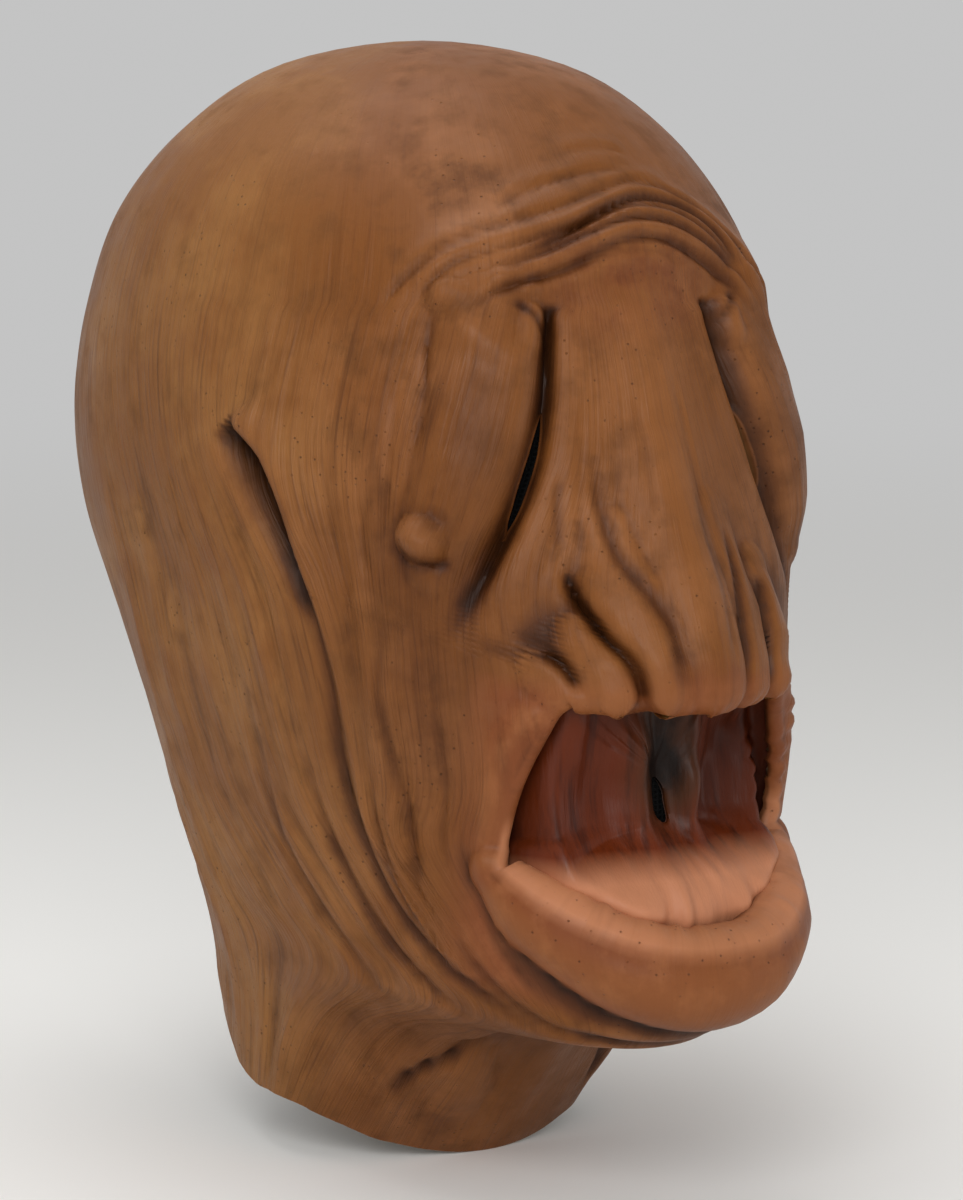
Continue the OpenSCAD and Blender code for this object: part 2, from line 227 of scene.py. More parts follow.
# nose: a broad ridge that ends in hanging lobes
swell([[0.3, 0], [0.4, -1], [0.5, -2], [0.56, -2]], (11, 15, 21), (3, 5, 8), both=False)
lobe([[0.45, -12], [0.5, -11.5], [0.54, -10], [0.585, -8]], (8, 13, 13, 12), (2, 7.5, 9.5, 9), both=False)
lobe([[0.4, -3], [0.5, -1], [0.59, 0.5]], (12, 15, 14), (2, 9, 10.5), both=False)
lobe([[0.44, 8], [0.52, 9], [0.585, 9.5]], (8, 13, 12), (2, 7.5, 8.5), both=False)
lobe([[0.535, -20], [0.558, -17.5], [0.586, -15]], (8, 11, 10), (4, 8.5, 8), both=False)
lobe([[0.49, 18], [0.545, 18.5], [0.585, 17]], (8, 12, 10), (3, 8.5, 7.5), both=False)
lobe([[0.562, -27], [0.584, -22]], (7, 7.5), (3.5, 5), both=False)
groove([[0.36, -12], [0.42, -13], [0.47, -12], [0.5, -9.5], [0.53, -7], [0.565, -6.6], [0.6, -6.4]],
       2.0, 1.9, bank=(0.6, 0.6), bankWidth=3.5, washAndShade=0.75, both=False)
groove([[0.48, -19.6], [0.495, -19.4], [0.51, -18.3], [0.535, -16], [0.562, -12.6], [0.6, -11.5]],
       1.8, 3.8, bank=(1.0, 1.2), bankWidth=4, pull=(0, 1.2), ends=(0.12, 0.02), washAndShade=0.8, both=False)
noseFolds = [
    ([[0.548, -28], [0.552, -24.5], [0.562, -22.5], [0.578, -21.5]], 1.7, 3, (0.8, 1), 3),
    ([[0.44, 9.5], [0.49, 8.5], [0.53, 6.5], [0.6, 5.5]], 1.5, 2.0, (0.4, 0.4), 3),
    ([[0.49, 17.5], [0.52, 15.5], [0.55, 14], [0.6, 13.5]], 1.7, 3.0, (0.8, 1), 3),
    ([[0.4, -17.5], [0.44, -19.5], [0.468, -20]], 1.3, 1.1, (0, 0), 5),
    ([[0.34, -4], [0.4, -5], [0.45, -5.5]], 1.2, 0.6, (0, 0), 5),
    ([[0.4, 3], [0.46, 3], [0.52, 2.5], [0.57, 1.5]], 1.3, 0.9, (0, 0), 5)]
for path, width, depth, bank, bankWidth in noseFolds:
    groove(path, width, depth, bank, bankWidth, both=False)

# eyes: drooping furrows with sausage-like bags outside them
eyeLine = [[0.283, 16.0], [0.31, 16.9], [0.35, 19], [0.39, 22], [0.43, 25.8], [0.47, 30.5], [0.52, 37],
           [0.58, 42.5]]
groove(eyeLine, (3, 4, 4.5, 4, 3), (4, 8, 10, 6.5, 2.5), bank=(0.8, 0.6), bankWidth=8,
       pull=(3.2, 0.8), ends=(0.08, 0.35), washAndShade=1.15)
lobe([[0.303, -26.5], [0.35, -28], [0.4, -32], [0.45, -37.5], [0.48, -40]],
     (16, 18.5, 17, 13, 9), (4, 6, 6.5, 5, 2.5))
swell([[0.29, -34], [0.36, -36], [0.43, -43]], 24, 2.6)
lobe([[0.298, -20], [0.315, -21]], 5.5, 5.0)
lobe([[0.282, -33], [0.286, -29]], 5.5, 3.0, both=False)
lobe([[0.272, -24], [0.276, -20]], 4.5, 2.2, both=False)
swell([[0.305, -30], [0.325, -24]], 5, 2.2, both=False)
groove([[0.285, -23], [0.296, -20], [0.312, -17.5]], 1.3, 1.8, bankWidth=3)
groove([[0.288, -35], [0.32, -36.5], [0.36, -37.5], [0.395, -40.5]], 1.1, 1.0,
       bank=(0.2, 0), bankWidth=3, washAndShade=0.5)
lobe([[0.456, -40.5], [0.46, -40]], 8.2, 12.5, both=False)
groove([[0.452, -43.5], [0.47, -42.5], [0.478, -39], [0.474, -36]], 1.5, 2.0, both=False)

fineLines = [
    ([[0.33, -41], [0.4, -44], [0.47, -47]], 0.9), ([[0.3, 41], [0.38, 43], [0.46, 48]], 0.9),
    ([[0.33, 3], [0.4, 4.5], [0.45, 5]], 0.7), ([[0.36, -13], [0.42, -15.5], [0.47, -17]], 0.8)]
for path, depth in fineLines:
    groove(path, 1.4, depth, bank=(0.3, 0.3), bankWidth=3, both=False, washAndShade=0.7)

# ears: one deep fold on each side, its front edge standing over it
groove([[0.372, -71], [0.4, -67.5], [0.435, -64.5], [0.48, -62], [0.54, -60.5], [0.62, -60]],
       (4.2, 6.0, 5.0, 3.6, 2.4), (8, 14, 12, 8, 3, 1),
       bank=(1.0, 4.5), bankWidth=6.5, pull=(0, 4.5), ends=(0.08, 0.5), washAndShade=1.3)
groove([[0.43, -73], [0.48, -70], [0.54, -68], [0.62, -68.5]], 2.4, 0.9, bank=(0.6, 0.6), washAndShade=0.5)

# cheeks and jaw: long draped folds that swing forward under the mouth
cheekFolds = [
    ([[0.53, -59.5], [0.59, -60.5], [0.66, -61.5], [0.73, -59.5], [0.785, -54.5], [0.815, -46],
      [0.838, -35], [0.85, -22]], 2.4, 3.0),
    ([[0.61, -67], [0.71, -66.5], [0.79, -61], [0.833, -52], [0.862, -38]], 2.2, 2.2),
    ([[0.765, -47], [0.787, -45.5], [0.81, -41.5], [0.828, -36], [0.845, -26], [0.852, -14]], 1.8, 1.8),
    ([[0.5, -46.5], [0.56, -51], [0.62, -52], [0.69, -51], [0.75, -51], [0.79, -48]], 1.9, 1.5),
    ([[0.55, -42], [0.6, -44.5], [0.66, -44.5], [0.71, -46.5], [0.755, -45]], 1.6, 1.3),
    ([[0.64, -56], [0.7, -56], [0.76, -54], [0.8, -49]], 1.8, 1.5),
    ([[0.55, -73], [0.65, -76], [0.76, -74], [0.84, -64], [0.88, -54]], 2.4, 1.6),
    ([[0.48, -52], [0.54, -55], [0.6, -55.5]], 1.6, 0.9),
    ([[0.42, -47], [0.46, -50], [0.53, -50]], 1.5, 0.8),
    ([[0.75, -41.5], [0.78, -40], [0.8, -36.5], [0.822, -31]], 1.4, 1.0),
    ([[0.5, -86], [0.6, -88], [0.72, -86], [0.83, -78]], 2.6, 1.2)]
for path, width, depth in cheekFolds:
    groove(path, width, 0.85*depth, bank=(0.6, 0.7), bankWidth=4.6, ends=(0.35, 0.35), washAndShade=0.8)
swell([[0.3, -56], [0.38, -55], [0.45, -52]], 17, -3)
swell([[0.6, -52], [0.72, -54], [0.79, -46]], 11, 2.5)
swell([[0.42, -90], [0.5, -92]], 30, -2)

# mouth: a thick lower lip, thin side lips with short wrinkles, and an upper edge under the nose
lobe([[0.724, -39], [0.75, -33], [0.78, -19], [0.79, -3], [0.787, 12], [0.768, 27], [0.735, 40]],
     (8, 13, 15, 16.5, 17.5, 16, 9), (6, 11, 14, 16, 17.5, 15, 7), both=False)
swell([[0.6, -29.5], [0.63, -34.5], [0.67, -37.5], [0.705, -39.5]], 5, 3.2)
swell([[0.592, -26], [0.582, -18]], 4, 2)
groove([[0.835, -34], [0.846, -18], [0.848, 0], [0.846, 18], [0.835, 34]], 2.4, 2.5, both=False)
for k in range(6):
    level = 0.6 + 0.018*k
    groove([[level, 34.5 + 0.6*k], [level + 0.006, 30 + 0.6*k]], 1.8, 0.7 + 0.3*(k % 2),
           bank=(0.5, 0.5), bankWidth=2.8, washAndShade=0.5, both=False)

# throat: a bulge between two tendons, over the cut edge
swell([[0.9, -33], [0.95, -37], [1.0, -39]], 6, 3.5)
lobe([[0.945, -24], [0.965, -20]], 11, 4.5, both=False)
groove([[0.925, -25], [0.938, -31], [0.952, -37], [0.968, -41]], 2, 2.8, (1, 1), 4, both=False)
groove([[0.94, 30], [0.96, 34], [0.98, 35]], 1.8, 2, (0.8, 0.8), both=False)
swell([[0.9, 0], [0.96, 4]], 9, 2.2, both=False)

# the way the skin drapes: lines of even share u, as angles at a few levels
drape = {
    "levels": [0.0, 0.25, 0.3, 0.39, 0.5, 0.58, 0.66, 0.72, 0.8, 0.86, 1.0],
    "angles": [
        [0, 0, 0, 0, 0, 0, 0, 0, 0, 0, 0],
        [9, 9, 8, 10, 16, 14, 12, 12, 11, 10, 12],
        [17, 15, 15, 21, 34, 37, 38, 41, 33, 26, 28],
        [32, 31, 34, 41, 46, 48, 49, 51, 42, 32, 36],
        [62, 64, 66, 68, 61, 60, 60, 58, 50, 42, 52],
        [90, 90, 90, 88, 84, 83, 82, 80, 72, 66, 76],
        [125, 125, 124, 122, 121, 120, 119, 118, 114, 110, 112],
        [180, 180, 180, 180, 180, 180, 180, 180, 180, 180, 180]],
    "shares": [0, 10, 20, 34, 62, 88, 122, 180],
    "across": 0.0019, "down": 0.47,        # metres of skin to a degree of share, and from crown to neck
}


def drapeShare(t, a):
    # the share u of the drape line through a point; lines run from the crown to the neck
    knots = [curve(np.stack([drape["levels"], row], -1), 200).T for row in drape["angles"]]
    lines = np.array([np.interp(t.ravel(), level, angle) for level, angle in knots])
    size = np.abs(a).ravel()
    share = np.zeros(size.size)
    for k in range(len(lines) - 1):
        low, high = lines[k], lines[k + 1]
        inside = (size >= low) & (size <= high + 1e-6)
        u = (size - low) / np.maximum(high - low, 1e-6)
        value = drape["shares"][k] + u*(drape["shares"][k + 1] - drape["shares"][k])
        share[inside] = value[inside]
    return share.reshape(a.shape) * np.sign(a)


def drapeUv(t, a):
    return np.stack([drapeShare(t, a)*drape["across"], t*drape["down"]], -1)


def twice(uv):
    # the same map on both faces of a sheet
    return np.concatenate([uv.reshape(-1, 2)]*2)


# fine relief, in mm: brushed strands, loose folds low on the sides, their slow sag, and unevenness
relief = {"strands": 0.5, "folds": 0.8, "sag": 1.5, "uneven": 0.35, "length": 470}


def sculpt(t, a):
    # moves each point of the form along its normal, and sideways under the folds' edges
    shape = t.shape
    t, a = t.ravel(), a.ravel()
    p, n = formPoint(t, a), formNormal(t, a)
    rise, slide = np.zeros(len(p)), np.zeros((len(p), 3))
    # how dark the grooves paint each point: dark wash and painted shade
    washAndShade = np.zeros(len(p))
    top = np.zeros(len(p))
    for path, width, height in swells:
        reach = 2.4*max(width) if isinstance(width, tuple) else 2.4*width
        near, dist, along, side, toward = nearPath(p, n, path, reach)
        rise[near] += ease(height, along)*bell(dist, 0, ease(width, along))
    for path, width, height in lobes:
        reach = max(width) if isinstance(width, tuple) else width
        near, dist, along, side, toward = nearPath(p, n, path, reach + 1)
        share = np.clip(1 - (dist/ease(width, along))**2, 0, 1)
        top[near] = np.maximum(top[near], ease(height, along)*share**0.85)
    rise += top
    for path, width, depth, bank, bankWidth, pull, ends, strength in grooves:
        reach = 2.6*bankWidth + 3*(max(width) if isinstance(width, tuple) else width)
        near, dist, along, side, toward = nearPath(p, n, path, reach)
        taper = smooth(0, ends[0], along) * (1 - smooth(1 - ends[1], 1, along))
        w, deep = ease(width, along), ease(depth, along)*taper
        rise[near] -= deep*np.exp(-(dist/w)**1.5)
        right = side > 0
        lift = np.where(right, bank[1], bank[0])
        rise[near] += taper*lift*bell(dist, 0.9*bankWidth, bankWidth)
        shift = np.where(right, pull[1], pull[0])*taper*(1 - bell(dist, 0, w))*bell(dist, 0, 1.6*bankWidth)
        slide[near] += shift[:, None]*toward
        creaseDark = strength*np.minimum(deep/2.2, 1)*bell(dist, 0, 1.1*w + 0.4)     # 2.2 mm deep holds all the dark wash and painted shade
        washAndShade[near] = np.maximum(washAndShade[near], creaseDark)
    u = drapeShare(t, a)
    length, size = t*relief["length"], np.abs(a)
    calm = smooth(0.12, 0.34, t)*(0.3 + 0.7*smooth(14, 34, size))*(1 - smooth(95, 150, size))
    calm = calm*(1 - smooth(0.93, 0.99, t))*(1 - 0.8*smooth(0.71, 0.75, t)*(1 - smooth(36, 44, size)))
    strands = 0.5*lattice(u*0.62 + 0.35*lattice(length/60, u/9, 3), length/55, 11)
    strands = strands + 0.3*lattice(u*1.25 + 40, length/34, 12)
    rise += relief["strands"]*calm*strands
    loose = smooth(0.36, 0.55, t)*smooth(38, 56, size)*(1 - smooth(110, 150, size))
    rise += relief["folds"]*loose*lattice(u*0.42 + 0.3*lattice(length/70, u/20, 8), length/90 + 9, 15)
    rise += relief["sag"]*loose*lattice(u*0.14 + 0.3*lattice(length/90, u/30, 6), length/150 + 5, 14)
    even = smooth(0.02, 0.1, t)*(1 - smooth(0.93, 1, t))
    rise += relief["uneven"]*even*lattice(p[:, 0]/22 + 30, p[:, 2]/26 + 30, 5)
    rise *= 1 - 0.8*smooth(0.95, 1, t)      # calm at the cut edge
    p = p + slide - n*(slide*n).sum(-1, keepdims=True) + n*rise[:, None]
    return p.reshape(*shape, 3), n.reshape(*shape, 3), rise.reshape(shape), washAndShade.reshape(shape)


# the grid: its lines land on the mouth, the eye slits and the nape slit

mouth = {"level": 0.6765, "half": 0.0985, "angle": 36, "widening": 0.2, "round": 0.3, "corners": 0.62}
eyeSlit = {"from": 0.358, "to": 0.452, "width": 7.5}
nape = {"slitTop": 205, "slope": 46 / 158, "gap": 1.0}


def spaced(ease, low, high, count, anchors):
    # values whose steps follow a spacing function, moved so that each anchor falls on an index of its own,
    # an even one for 0 and an odd one for 1
    fine = np.linspace(low, high, 4001)
    steps = 1/ease(fine)
    index = np.concatenate([[0], np.cumsum((steps[1:] + steps[:-1])/2)])
    index *= count/index[-1]
    pins = [(v, odd + 2*round((np.interp(v, fine, index) - odd)/2)) for v, odd in anchors]
    pins = [(low, 0)] + pins + [(high, count)]
    values, places = zip(*pins)
    index = np.interp(fine, values, places) + index - np.interp(fine, values, np.interp(values, fine, index))
    return np.interp(np.arange(count + 1), index, fine), dict(zip(values, places))


columnCount, levelCount = headForm["columns"], headForm["levels"]
eyeAngle = 22.0
slitLevels = np.linspace(0.4, 0.6, 2001)
slitStart = float(np.interp(-nape["slitTop"], -formPoint(slitLevels, 180.0)[:, 2], slitLevels))
angleSteps, anglePins = spaced(
    lambda a: 1 + 2.1*smooth(52, 105, np.abs(a)), -180, 180, columnCount,
    [(-mouth["angle"], 0), (-eyeAngle, 1), (eyeAngle, 1), (mouth["angle"], 0)])
levelSteps, levelPins = spaced(
    lambda t: (1 + 2.4*(1 - smooth(0.06, 0.18, t)) + 1.2*smooth(0.86, 0.95, t)
               - 0.35*bell(t, 0.22, 0.05)), 0, 1, levelCount,
    [(eyeSlit["from"], 0), (eyeSlit["to"], 0), (slitStart, 0),
     (mouth["level"] - mouth["half"], 0), (mouth["level"] + mouth["half"], 0)])


def mouthOutline(p, q):
    # from a square of half size 1 to the mouth's rounded outline, wider at the bottom
    x = p*np.sqrt(1 - mouth["round"]*q*q)*(1 + mouth["widening"]*q)
    y = q*np.sqrt(1 - (0.3*mouth["round"] + mouth["corners"]*smooth(0, 1, q))*p*p)
    return x, y


def drapeGrid():
    # levels and angles of the whole grid, bent round the mouth and along the eye slits
    t, a = np.meshgrid(levelSteps, angleSteps, indexing="ij")
    arch = np.clip(((a - 2)/27)**2, 0, 1.3)*(1 - smooth(40, 80, np.abs(a)))     # rows follow the brow's arcs
    t = t + 0.045*arch*bell(t, 0.2, 0.055)
    p = a/mouth["angle"]
    q = (t - mouth["level"])/mouth["half"]
    size = np.maximum(np.maximum(np.abs(p), np.abs(q)), 1e-6)
    x, y = mouthOutline(p/np.maximum(size, 1), q/np.maximum(size, 1))
    keep = smooth(1, 1.75, size)
    newP = np.where(size >= 1, size*x*(1 - keep) + p*keep, p)
    newQ = np.where(size >= 1, size*y*(1 - keep) + q*keep, q)
    a, t = newP*mouth["angle"], newQ*mouth["half"] + mouth["level"]
    drift = np.interp(t, [k[0] for k in eyeLine], [k[1] for k in eyeLine]) - eyeAngle
    drift *= 1 - smooth(0.5, 0.57, t)
    inner, outer = 13.0, 22.0
    away = np.abs(np.abs(a) - eyeAngle)
    side = np.where(np.abs(a) < eyeAngle, inner, outer)
    a = a + np.sign(a)*drift*bell(away, 0, side)
    # the lines beside the slit's middle stand apart in an almond shape
    middle, half = (eyeSlit["from"] + eyeSlit["to"])/2, (eyeSlit["to"] - eyeSlit["from"])/2
    almond = eyeSlit["width"]/4.4*np.sqrt(np.clip(1 - ((t - middle)/half)**2, 0.02, 1))
    inside = 1 - smooth(0.9, 1.3, np.abs(t - middle)/half)
    for pin in (anglePins[-eyeAngle], anglePins[eyeAngle]):
        step = np.arange(columnCount + 1)[None, :] - pin
        natural = np.abs(a[:, pin + 1] - a[:, pin])[:, None]
        push = (almond - natural)*bell(np.abs(step), 1, 4)*inside
        a = a + np.where(step == 0, 0, np.sign(step)*push)
    return t, a


def flapAngle(t):
    # the angle at which the line that a flap bends on crosses a level: w sin a = slope (slit top - height)
    a = np.linspace(95, 180, 600)
    found = []
    for level in t:
        p = formPoint(np.full(a.shape, level), a)
        over = p[:, 0] - nape["slope"]*(nape["slitTop"] - p[:, 2])
        found.append(np.interp(0, -over, a) if over[-1] < 0 else 180.0)
    return np.array(found)


gridT, gridA = drapeGrid()
slitRow = levelPins[slitStart]
bendAngle = np.where(np.arange(levelCount + 1) > slitRow, flapAngle(levelSteps), 180.0)
behind = np.abs(gridA) > 120
squeezed = 120 + (np.abs(gridA) - 120)*(bendAngle[:, None] - 120)/60
gridA = np.where(behind, np.sign(gridA)*squeezed, gridA)
print("grid worked out")


def meshOf(name, points, faces, uv=None, values=None, material=None):
    # points in mm over the form's zero become metres over the head seat
    mesh = bpy.data.meshes.new(name)
    place = (np.asarray(points, float) - [0, 0, drop]) * mm
    mesh.from_pydata(place.tolist(), [], [list(f) for f in faces])
    if uv is not None:
        layer = mesh.uv_layers.new(name="drape")
        layer.data.foreach_set("uv", np.asarray(uv, np.float32).ravel())
    for key, value in (values or {}).items():
        channel = mesh.attributes.new(key, "FLOAT", "POINT")
        channel.data.foreach_set("value", np.asarray(value, np.float32).ravel())
    mesh.polygons.foreach_set("use_smooth", np.ones(len(mesh.polygons), bool))
    mesh.update()
    piece = bpy.data.objects.new(name, mesh)
    bpy.context.scene.collection.objects.link(piece)
    if material:
        mesh.materials.append(material)
    return piece


def blur(field, cells):
    # a running mean along both ways of the grid, wrapping round the head
    for _ in range(2):
        wide = np.concatenate([field[:, -cells-1:-1], field, field[:, 1:cells+1]], 1)
        total = np.cumsum(np.pad(wide, ((0, 0), (1, 0))), 1)
        field = (total[:, 2*cells+1:] - total[:, :-2*cells-1])/(2*cells + 1)
        tall = np.pad(field, ((cells, cells), (0, 0)), mode="edge")
        total = np.cumsum(np.pad(tall, ((1, 0), (0, 0))), 0)
        field = (total[2*cells+1:] - total[:-2*cells-1])/(2*cells + 1)
    return field


def lowest(field):
    # the least value of each point and its neighbours on the grid
    wide = np.minimum(np.minimum(np.roll(field, 1, 1), np.roll(field, -1, 1)), field)
    tall = np.pad(wide, ((1, 1), (0, 0)), mode="edge")
    return np.minimum(np.minimum(tall[:-2], tall[1:-1]), tall[2:])


def quadsOf(rows, columns, start=0, holes=(), flip=False):
    # the quads of a grid numbered row by row, seen from outside with rows running down
    i, j = np.meshgrid(np.arange(rows), np.arange(columns), indexing="ij")
    keep = np.ones(i.shape, bool)
    for r0, r1, c0, c1 in holes:
        keep[r0:r1, c0:c1] = False
    a = start + i[keep]*(columns + 1) + j[keep]
    quads = np.stack([a, a + columns + 1, a + columns + 2, a + 1], -1)
    return quads[:, ::-1] if flip else quads


def loopOf(hole, columns, start=0):
    # a hole's edge, clockwise from its top left corner as seen from outside
    r0, r1, c0, c1 = hole
    down, across = np.arange(r0, r1), np.arange(c0, c1)
    rows = np.concatenate([np.full(across.size, r0), down, np.full(across.size, r1), down[::-1] + 1])
    cols = np.concatenate([across, np.full(down.size, c1), across[::-1] + 1, np.full(down.size, c0)])
    return start + rows*(columns + 1) + cols


def stitch(many, few):
    # triangles from an edge with twice the points to one with half of them
    a, b, c = many[0:-1:2], many[1::2], many[2::2]
    m, n = few[:-1], few[1:]
    return np.concatenate([np.stack([a, m, b], -1), np.stack([b, m, n], -1), np.stack([b, n, c], -1)])


def band(first, second):
    # quads between two edges with as many points
    return np.stack([first[:-1], second[:-1], second[1:], first[1:]], -1)


def ringed(loop):
    return np.append(loop, loop[0])


def tidyFaces(points, faces, digits=4):
    # joins points that lie in one place and drops what that flattens
    # gives the points, the faces and the corners' old numbers
    keys, first, same = np.unique(np.round(points, digits), axis=0, return_index=True, return_inverse=True)
    same = same.ravel()
    groups = []
    for group in faces:
        joined = same[group]
        spare = joined == np.roll(joined, 1, 1)
        groups.append(group[~spare.any(1)])
        if group.shape[1] == 4:
            once = spare.sum(1) == 1
            groups.append(group[once][~spare[once]].reshape(-1, 3))
    used = np.zeros(len(first), bool)
    for group in groups:
        used[same[group]] = True
    number = np.cumsum(used) - 1
    shapes = [face for group in groups for face in number[same[group]].tolist()]
    corners = np.concatenate([group.ravel() for group in groups])
    return points[first[used]], shapes, corners, first[used]


def makePiece(name, points, faces, uv=None, values=None, material=None, sharp=60):
    place, shapes, corners, first = tidyFaces(points, faces)
    fields = {key: np.asarray(value)[first] for key, value in (values or {}).items()}
    piece = meshOf(name, place, shapes, None if uv is None else uv[corners], fields, material)
    piece.data.set_sharp_from_angle(angle=math.radians(sharp))
    return piece


def slab(front, back, wrap=False):
    # two faces of a sheet or pad and the walls between their edges
    rows, columns = front.shape[0] - 1, front.shape[1] - 1
    n = (rows + 1)*(columns + 1)
    points = np.concatenate([front.reshape(-1, 3), back.reshape(-1, 3)])
    ids = np.arange(n).reshape(rows + 1, columns + 1)
    faces = [quadsOf(rows, columns), quadsOf(rows, columns, n, flip=True),
             band(ids[0], ids[0] + n)[:, ::-1], band(ids[-1], ids[-1] + n)]
    if not wrap:
        faces += [band(ids[:, 0], ids[:, 0] + n), band(ids[:, -1], ids[:, -1] + n)[:, ::-1]]
    return points, faces


# skin: one casting from the crown to the neck edge, with the lips rolled in

wall = headForm["thickness"]
outside, outward, rise, washAndShade = sculpt(gridT, gridA)
print("skin sculpted")
gridUv = drapeUv(gridT, gridA)
rows, columns = levelCount, columnCount
holeMouth = (levelPins[mouth["level"] - mouth["half"]], levelPins[mouth["level"] + mouth["half"]],
             anglePins[-mouth["angle"]], anglePins[mouth["angle"]])
holesEye = [(levelPins[eyeSlit["from"]], levelPins[eyeSlit["to"]], anglePins[k] - 1, anglePins[k] + 1)
            for k in (-eyeAngle, eyeAngle)]
holes = [tuple(int(v) for v in hole) for hole in [holeMouth] + holesEye]

lowRise = blur(lowest(lowest(rise)), 1)
inside = formPoint(gridT, gridA) + outward*(lowRise - wall)[..., None]
inside = inside[::2, ::2]
halfRows, halfColumns = rows//2, columns//2
outerCount, innerCount = outside.shape[0]*outside.shape[1], inside.shape[0]*inside.shape[1]

# painted highlight, painted shade and blush in spots on both sides of the face: highlight on the nose bridge
# and beside the mouth, shade in the cheek hollows, round the eye bags and under the jaw, red blush on the brow
# and the nose; strength, level and its spread, angle and its spread
blushShadeHighlight = {
    "raisedHighlight": [(0.9, 0.37, 0.08, 0, 9), (0.8, 0.655, 0.05, 39, 3)],
    "hollowShade": [(1, 0.6, 0.09, 44, 9), (0.9, 0.48, 0.035, 40, 10), (0.9, 0.915, 0.035, 0, 42),
               (0.8, 0.38, 0.06, 31, 8)],
    "blush": [(1, 0.275, 0.035, 0, 17), (1, 0.572, 0.014, 0, 20)],
}
gridSide = np.abs(gridA)
blushShadeHighlightFields = {key: sum(strength*bell(gridT, level, tall)*bell(gridSide, angle, wide)
                    for strength, level, tall, angle, wide in spots) for key, spots in blushShadeHighlight.items()}
rough = blur(rise, 4)
cavityShade = np.clip((rough - rise)/3.5, 0, 1)      # painted shade in the hollows of the relief: 3.5 mm under its surroundings takes all of it
# painted highlight, laid as lighter tan: lighter where the relief stands over its surroundings, 3 mm over takes
# all of it
raisedHighlight = np.clip((rise - rough)/3.0, 0, 1)
mouthP, mouthQ = gridA/mouth["angle"], (gridT - mouth["level"])/mouth["half"]
aroundP, aroundQ = np.abs(mouthP), np.where(mouthQ > 0, mouthQ/1.3, np.abs(mouthQ))
lipShare = 1 - smooth(0.92, 1.3, np.maximum(aroundP/(1.02 + 0.12*mouthQ.clip(-1, 1)), aroundQ*1.04))
paint = {
    # painted shade with the dark wash: darker in the grooves and in the hollows of the relief
    "crease": np.maximum(washAndShade*0.9, cavityShade),
    # painted highlight on the raised parts, and on the nose bridge and beside the mouth
    "raisedHighlight": np.clip(raisedHighlight + blushShadeHighlightFields["raisedHighlight"], 0, 1),
    "lip": lipShare*smooth(-1.35, -0.8, mouthQ),
    "inside": np.zeros(gridT.shape),
    "side": smooth(44, 72, gridSide)*(1 - 0.5*smooth(0.55, 0.8, gridT)*(1 - smooth(66, 92, gridSide))),
    "inner": np.zeros(gridT.shape),
    "draped": (0.15 + 0.85*smooth(0.1, 0.4, gridT)*(1 - 0.85*lipShare*smooth(-0.2, 0.4, mouthQ))
               * (0.5 + 0.5*smooth(12, 36, gridSide))),
    # painted shade in the cheek hollows, round the eye bags and under the jaw
    "hollowShade": np.clip(blushShadeHighlightFields["hollowShade"], 0, 1),
    "blush": blushShadeHighlightFields["blush"],
}

points = [outside.reshape(-1, 3), inside.reshape(-1, 3)]
uvs = [gridUv.reshape(-1, 2), gridUv[::2, ::2].reshape(-1, 2)]
tone = {key: [value.ravel(), value[::2, ::2].ravel()] for key, value in paint.items()}
tone["inside"][1] = np.ones(innerCount)
faces = [quadsOf(rows, columns, 0, holes),
         quadsOf(halfRows, halfColumns, outerCount, [tuple(v//2 for v in hole) for hole in holes], flip=True)]


def rolledEdge(hole, radius, turns, seed):
    # rings round an opening: each point turns about a centre one radius under the surface, outwards to inwards
    loop = loopOf(hole, columns)
    edge, out = outside.reshape(-1, 3)[loop], outward.reshape(-1, 3)[loop]
    run = np.roll(edge, -3, 0) - np.roll(edge, 3, 0)
    inward = unit(np.cross(run, out))
    out = unit(np.cross(inward, run))
    level = gridT.ravel()[loop]
    r = radius(level, rise.ravel()[loop])
    centre = edge - r[:, None]*out
    around = np.arange(loop.size)
    ids = [loop]
    for alpha in turns:
        c, s = math.cos(math.radians(alpha)), math.sin(math.radians(alpha))
        ripple = 1 + 0.06*min(alpha/60, 1)*lattice(around/3.1 + 7, np.full(loop.size, alpha/50 + seed), seed)
        start = sum(len(part) for part in points)
        points.append(centre + (r*ripple)[:, None]*(c*out + s*inward))
        uvs.append(gridUv.reshape(-1, 2)[loop] + [0, alpha*1e-4])
        # painted shade: the back of the rolled lip, where it turns into the mouth, is painted darker
        more = {"crease": 0.75*smooth(95, 140, alpha), "inner": smooth(0, 50, alpha)*smooth(0.67, 0.7, level)}
        for key in tone:
            tone[key].append(tone[key][0][loop]*(0.5 if key == "crease" else 1) + more.get(key, 0))
        ids.append(np.arange(start, start + loop.size))
    for first, second in zip(ids[:-1], ids[1:]):
        faces.append(band(ringed(first), ringed(second)))
    few = loopOf(tuple(v//2 for v in hole), halfColumns, outerCount)
    faces.append(stitch(ringed(ids[-1]), ringed(few)))
    return loop


# radius of the rolled edge in mm: thin beside the mouth, thick at the bottom, and more on the nose's lobes
lip = {"thin": 3.0, "thick": 9.5, "thickFrom": 0.695, "thickTo": 0.75, "nose": 0.34,
       "turns": (18, 36, 54, 72, 90, 108, 126, 145)}
slitEdge = {"radius": 0.9, "turns": (45, 90)}


def lipRadius(t, high):
    thicker = (lip["thick"] - lip["thin"])*smooth(lip["thickFrom"], lip["thickTo"], t)
    return lip["thin"] + thicker + lip["nose"]*np.maximum(high, 0)*(1 - smooth(0.58, 0.6, t))


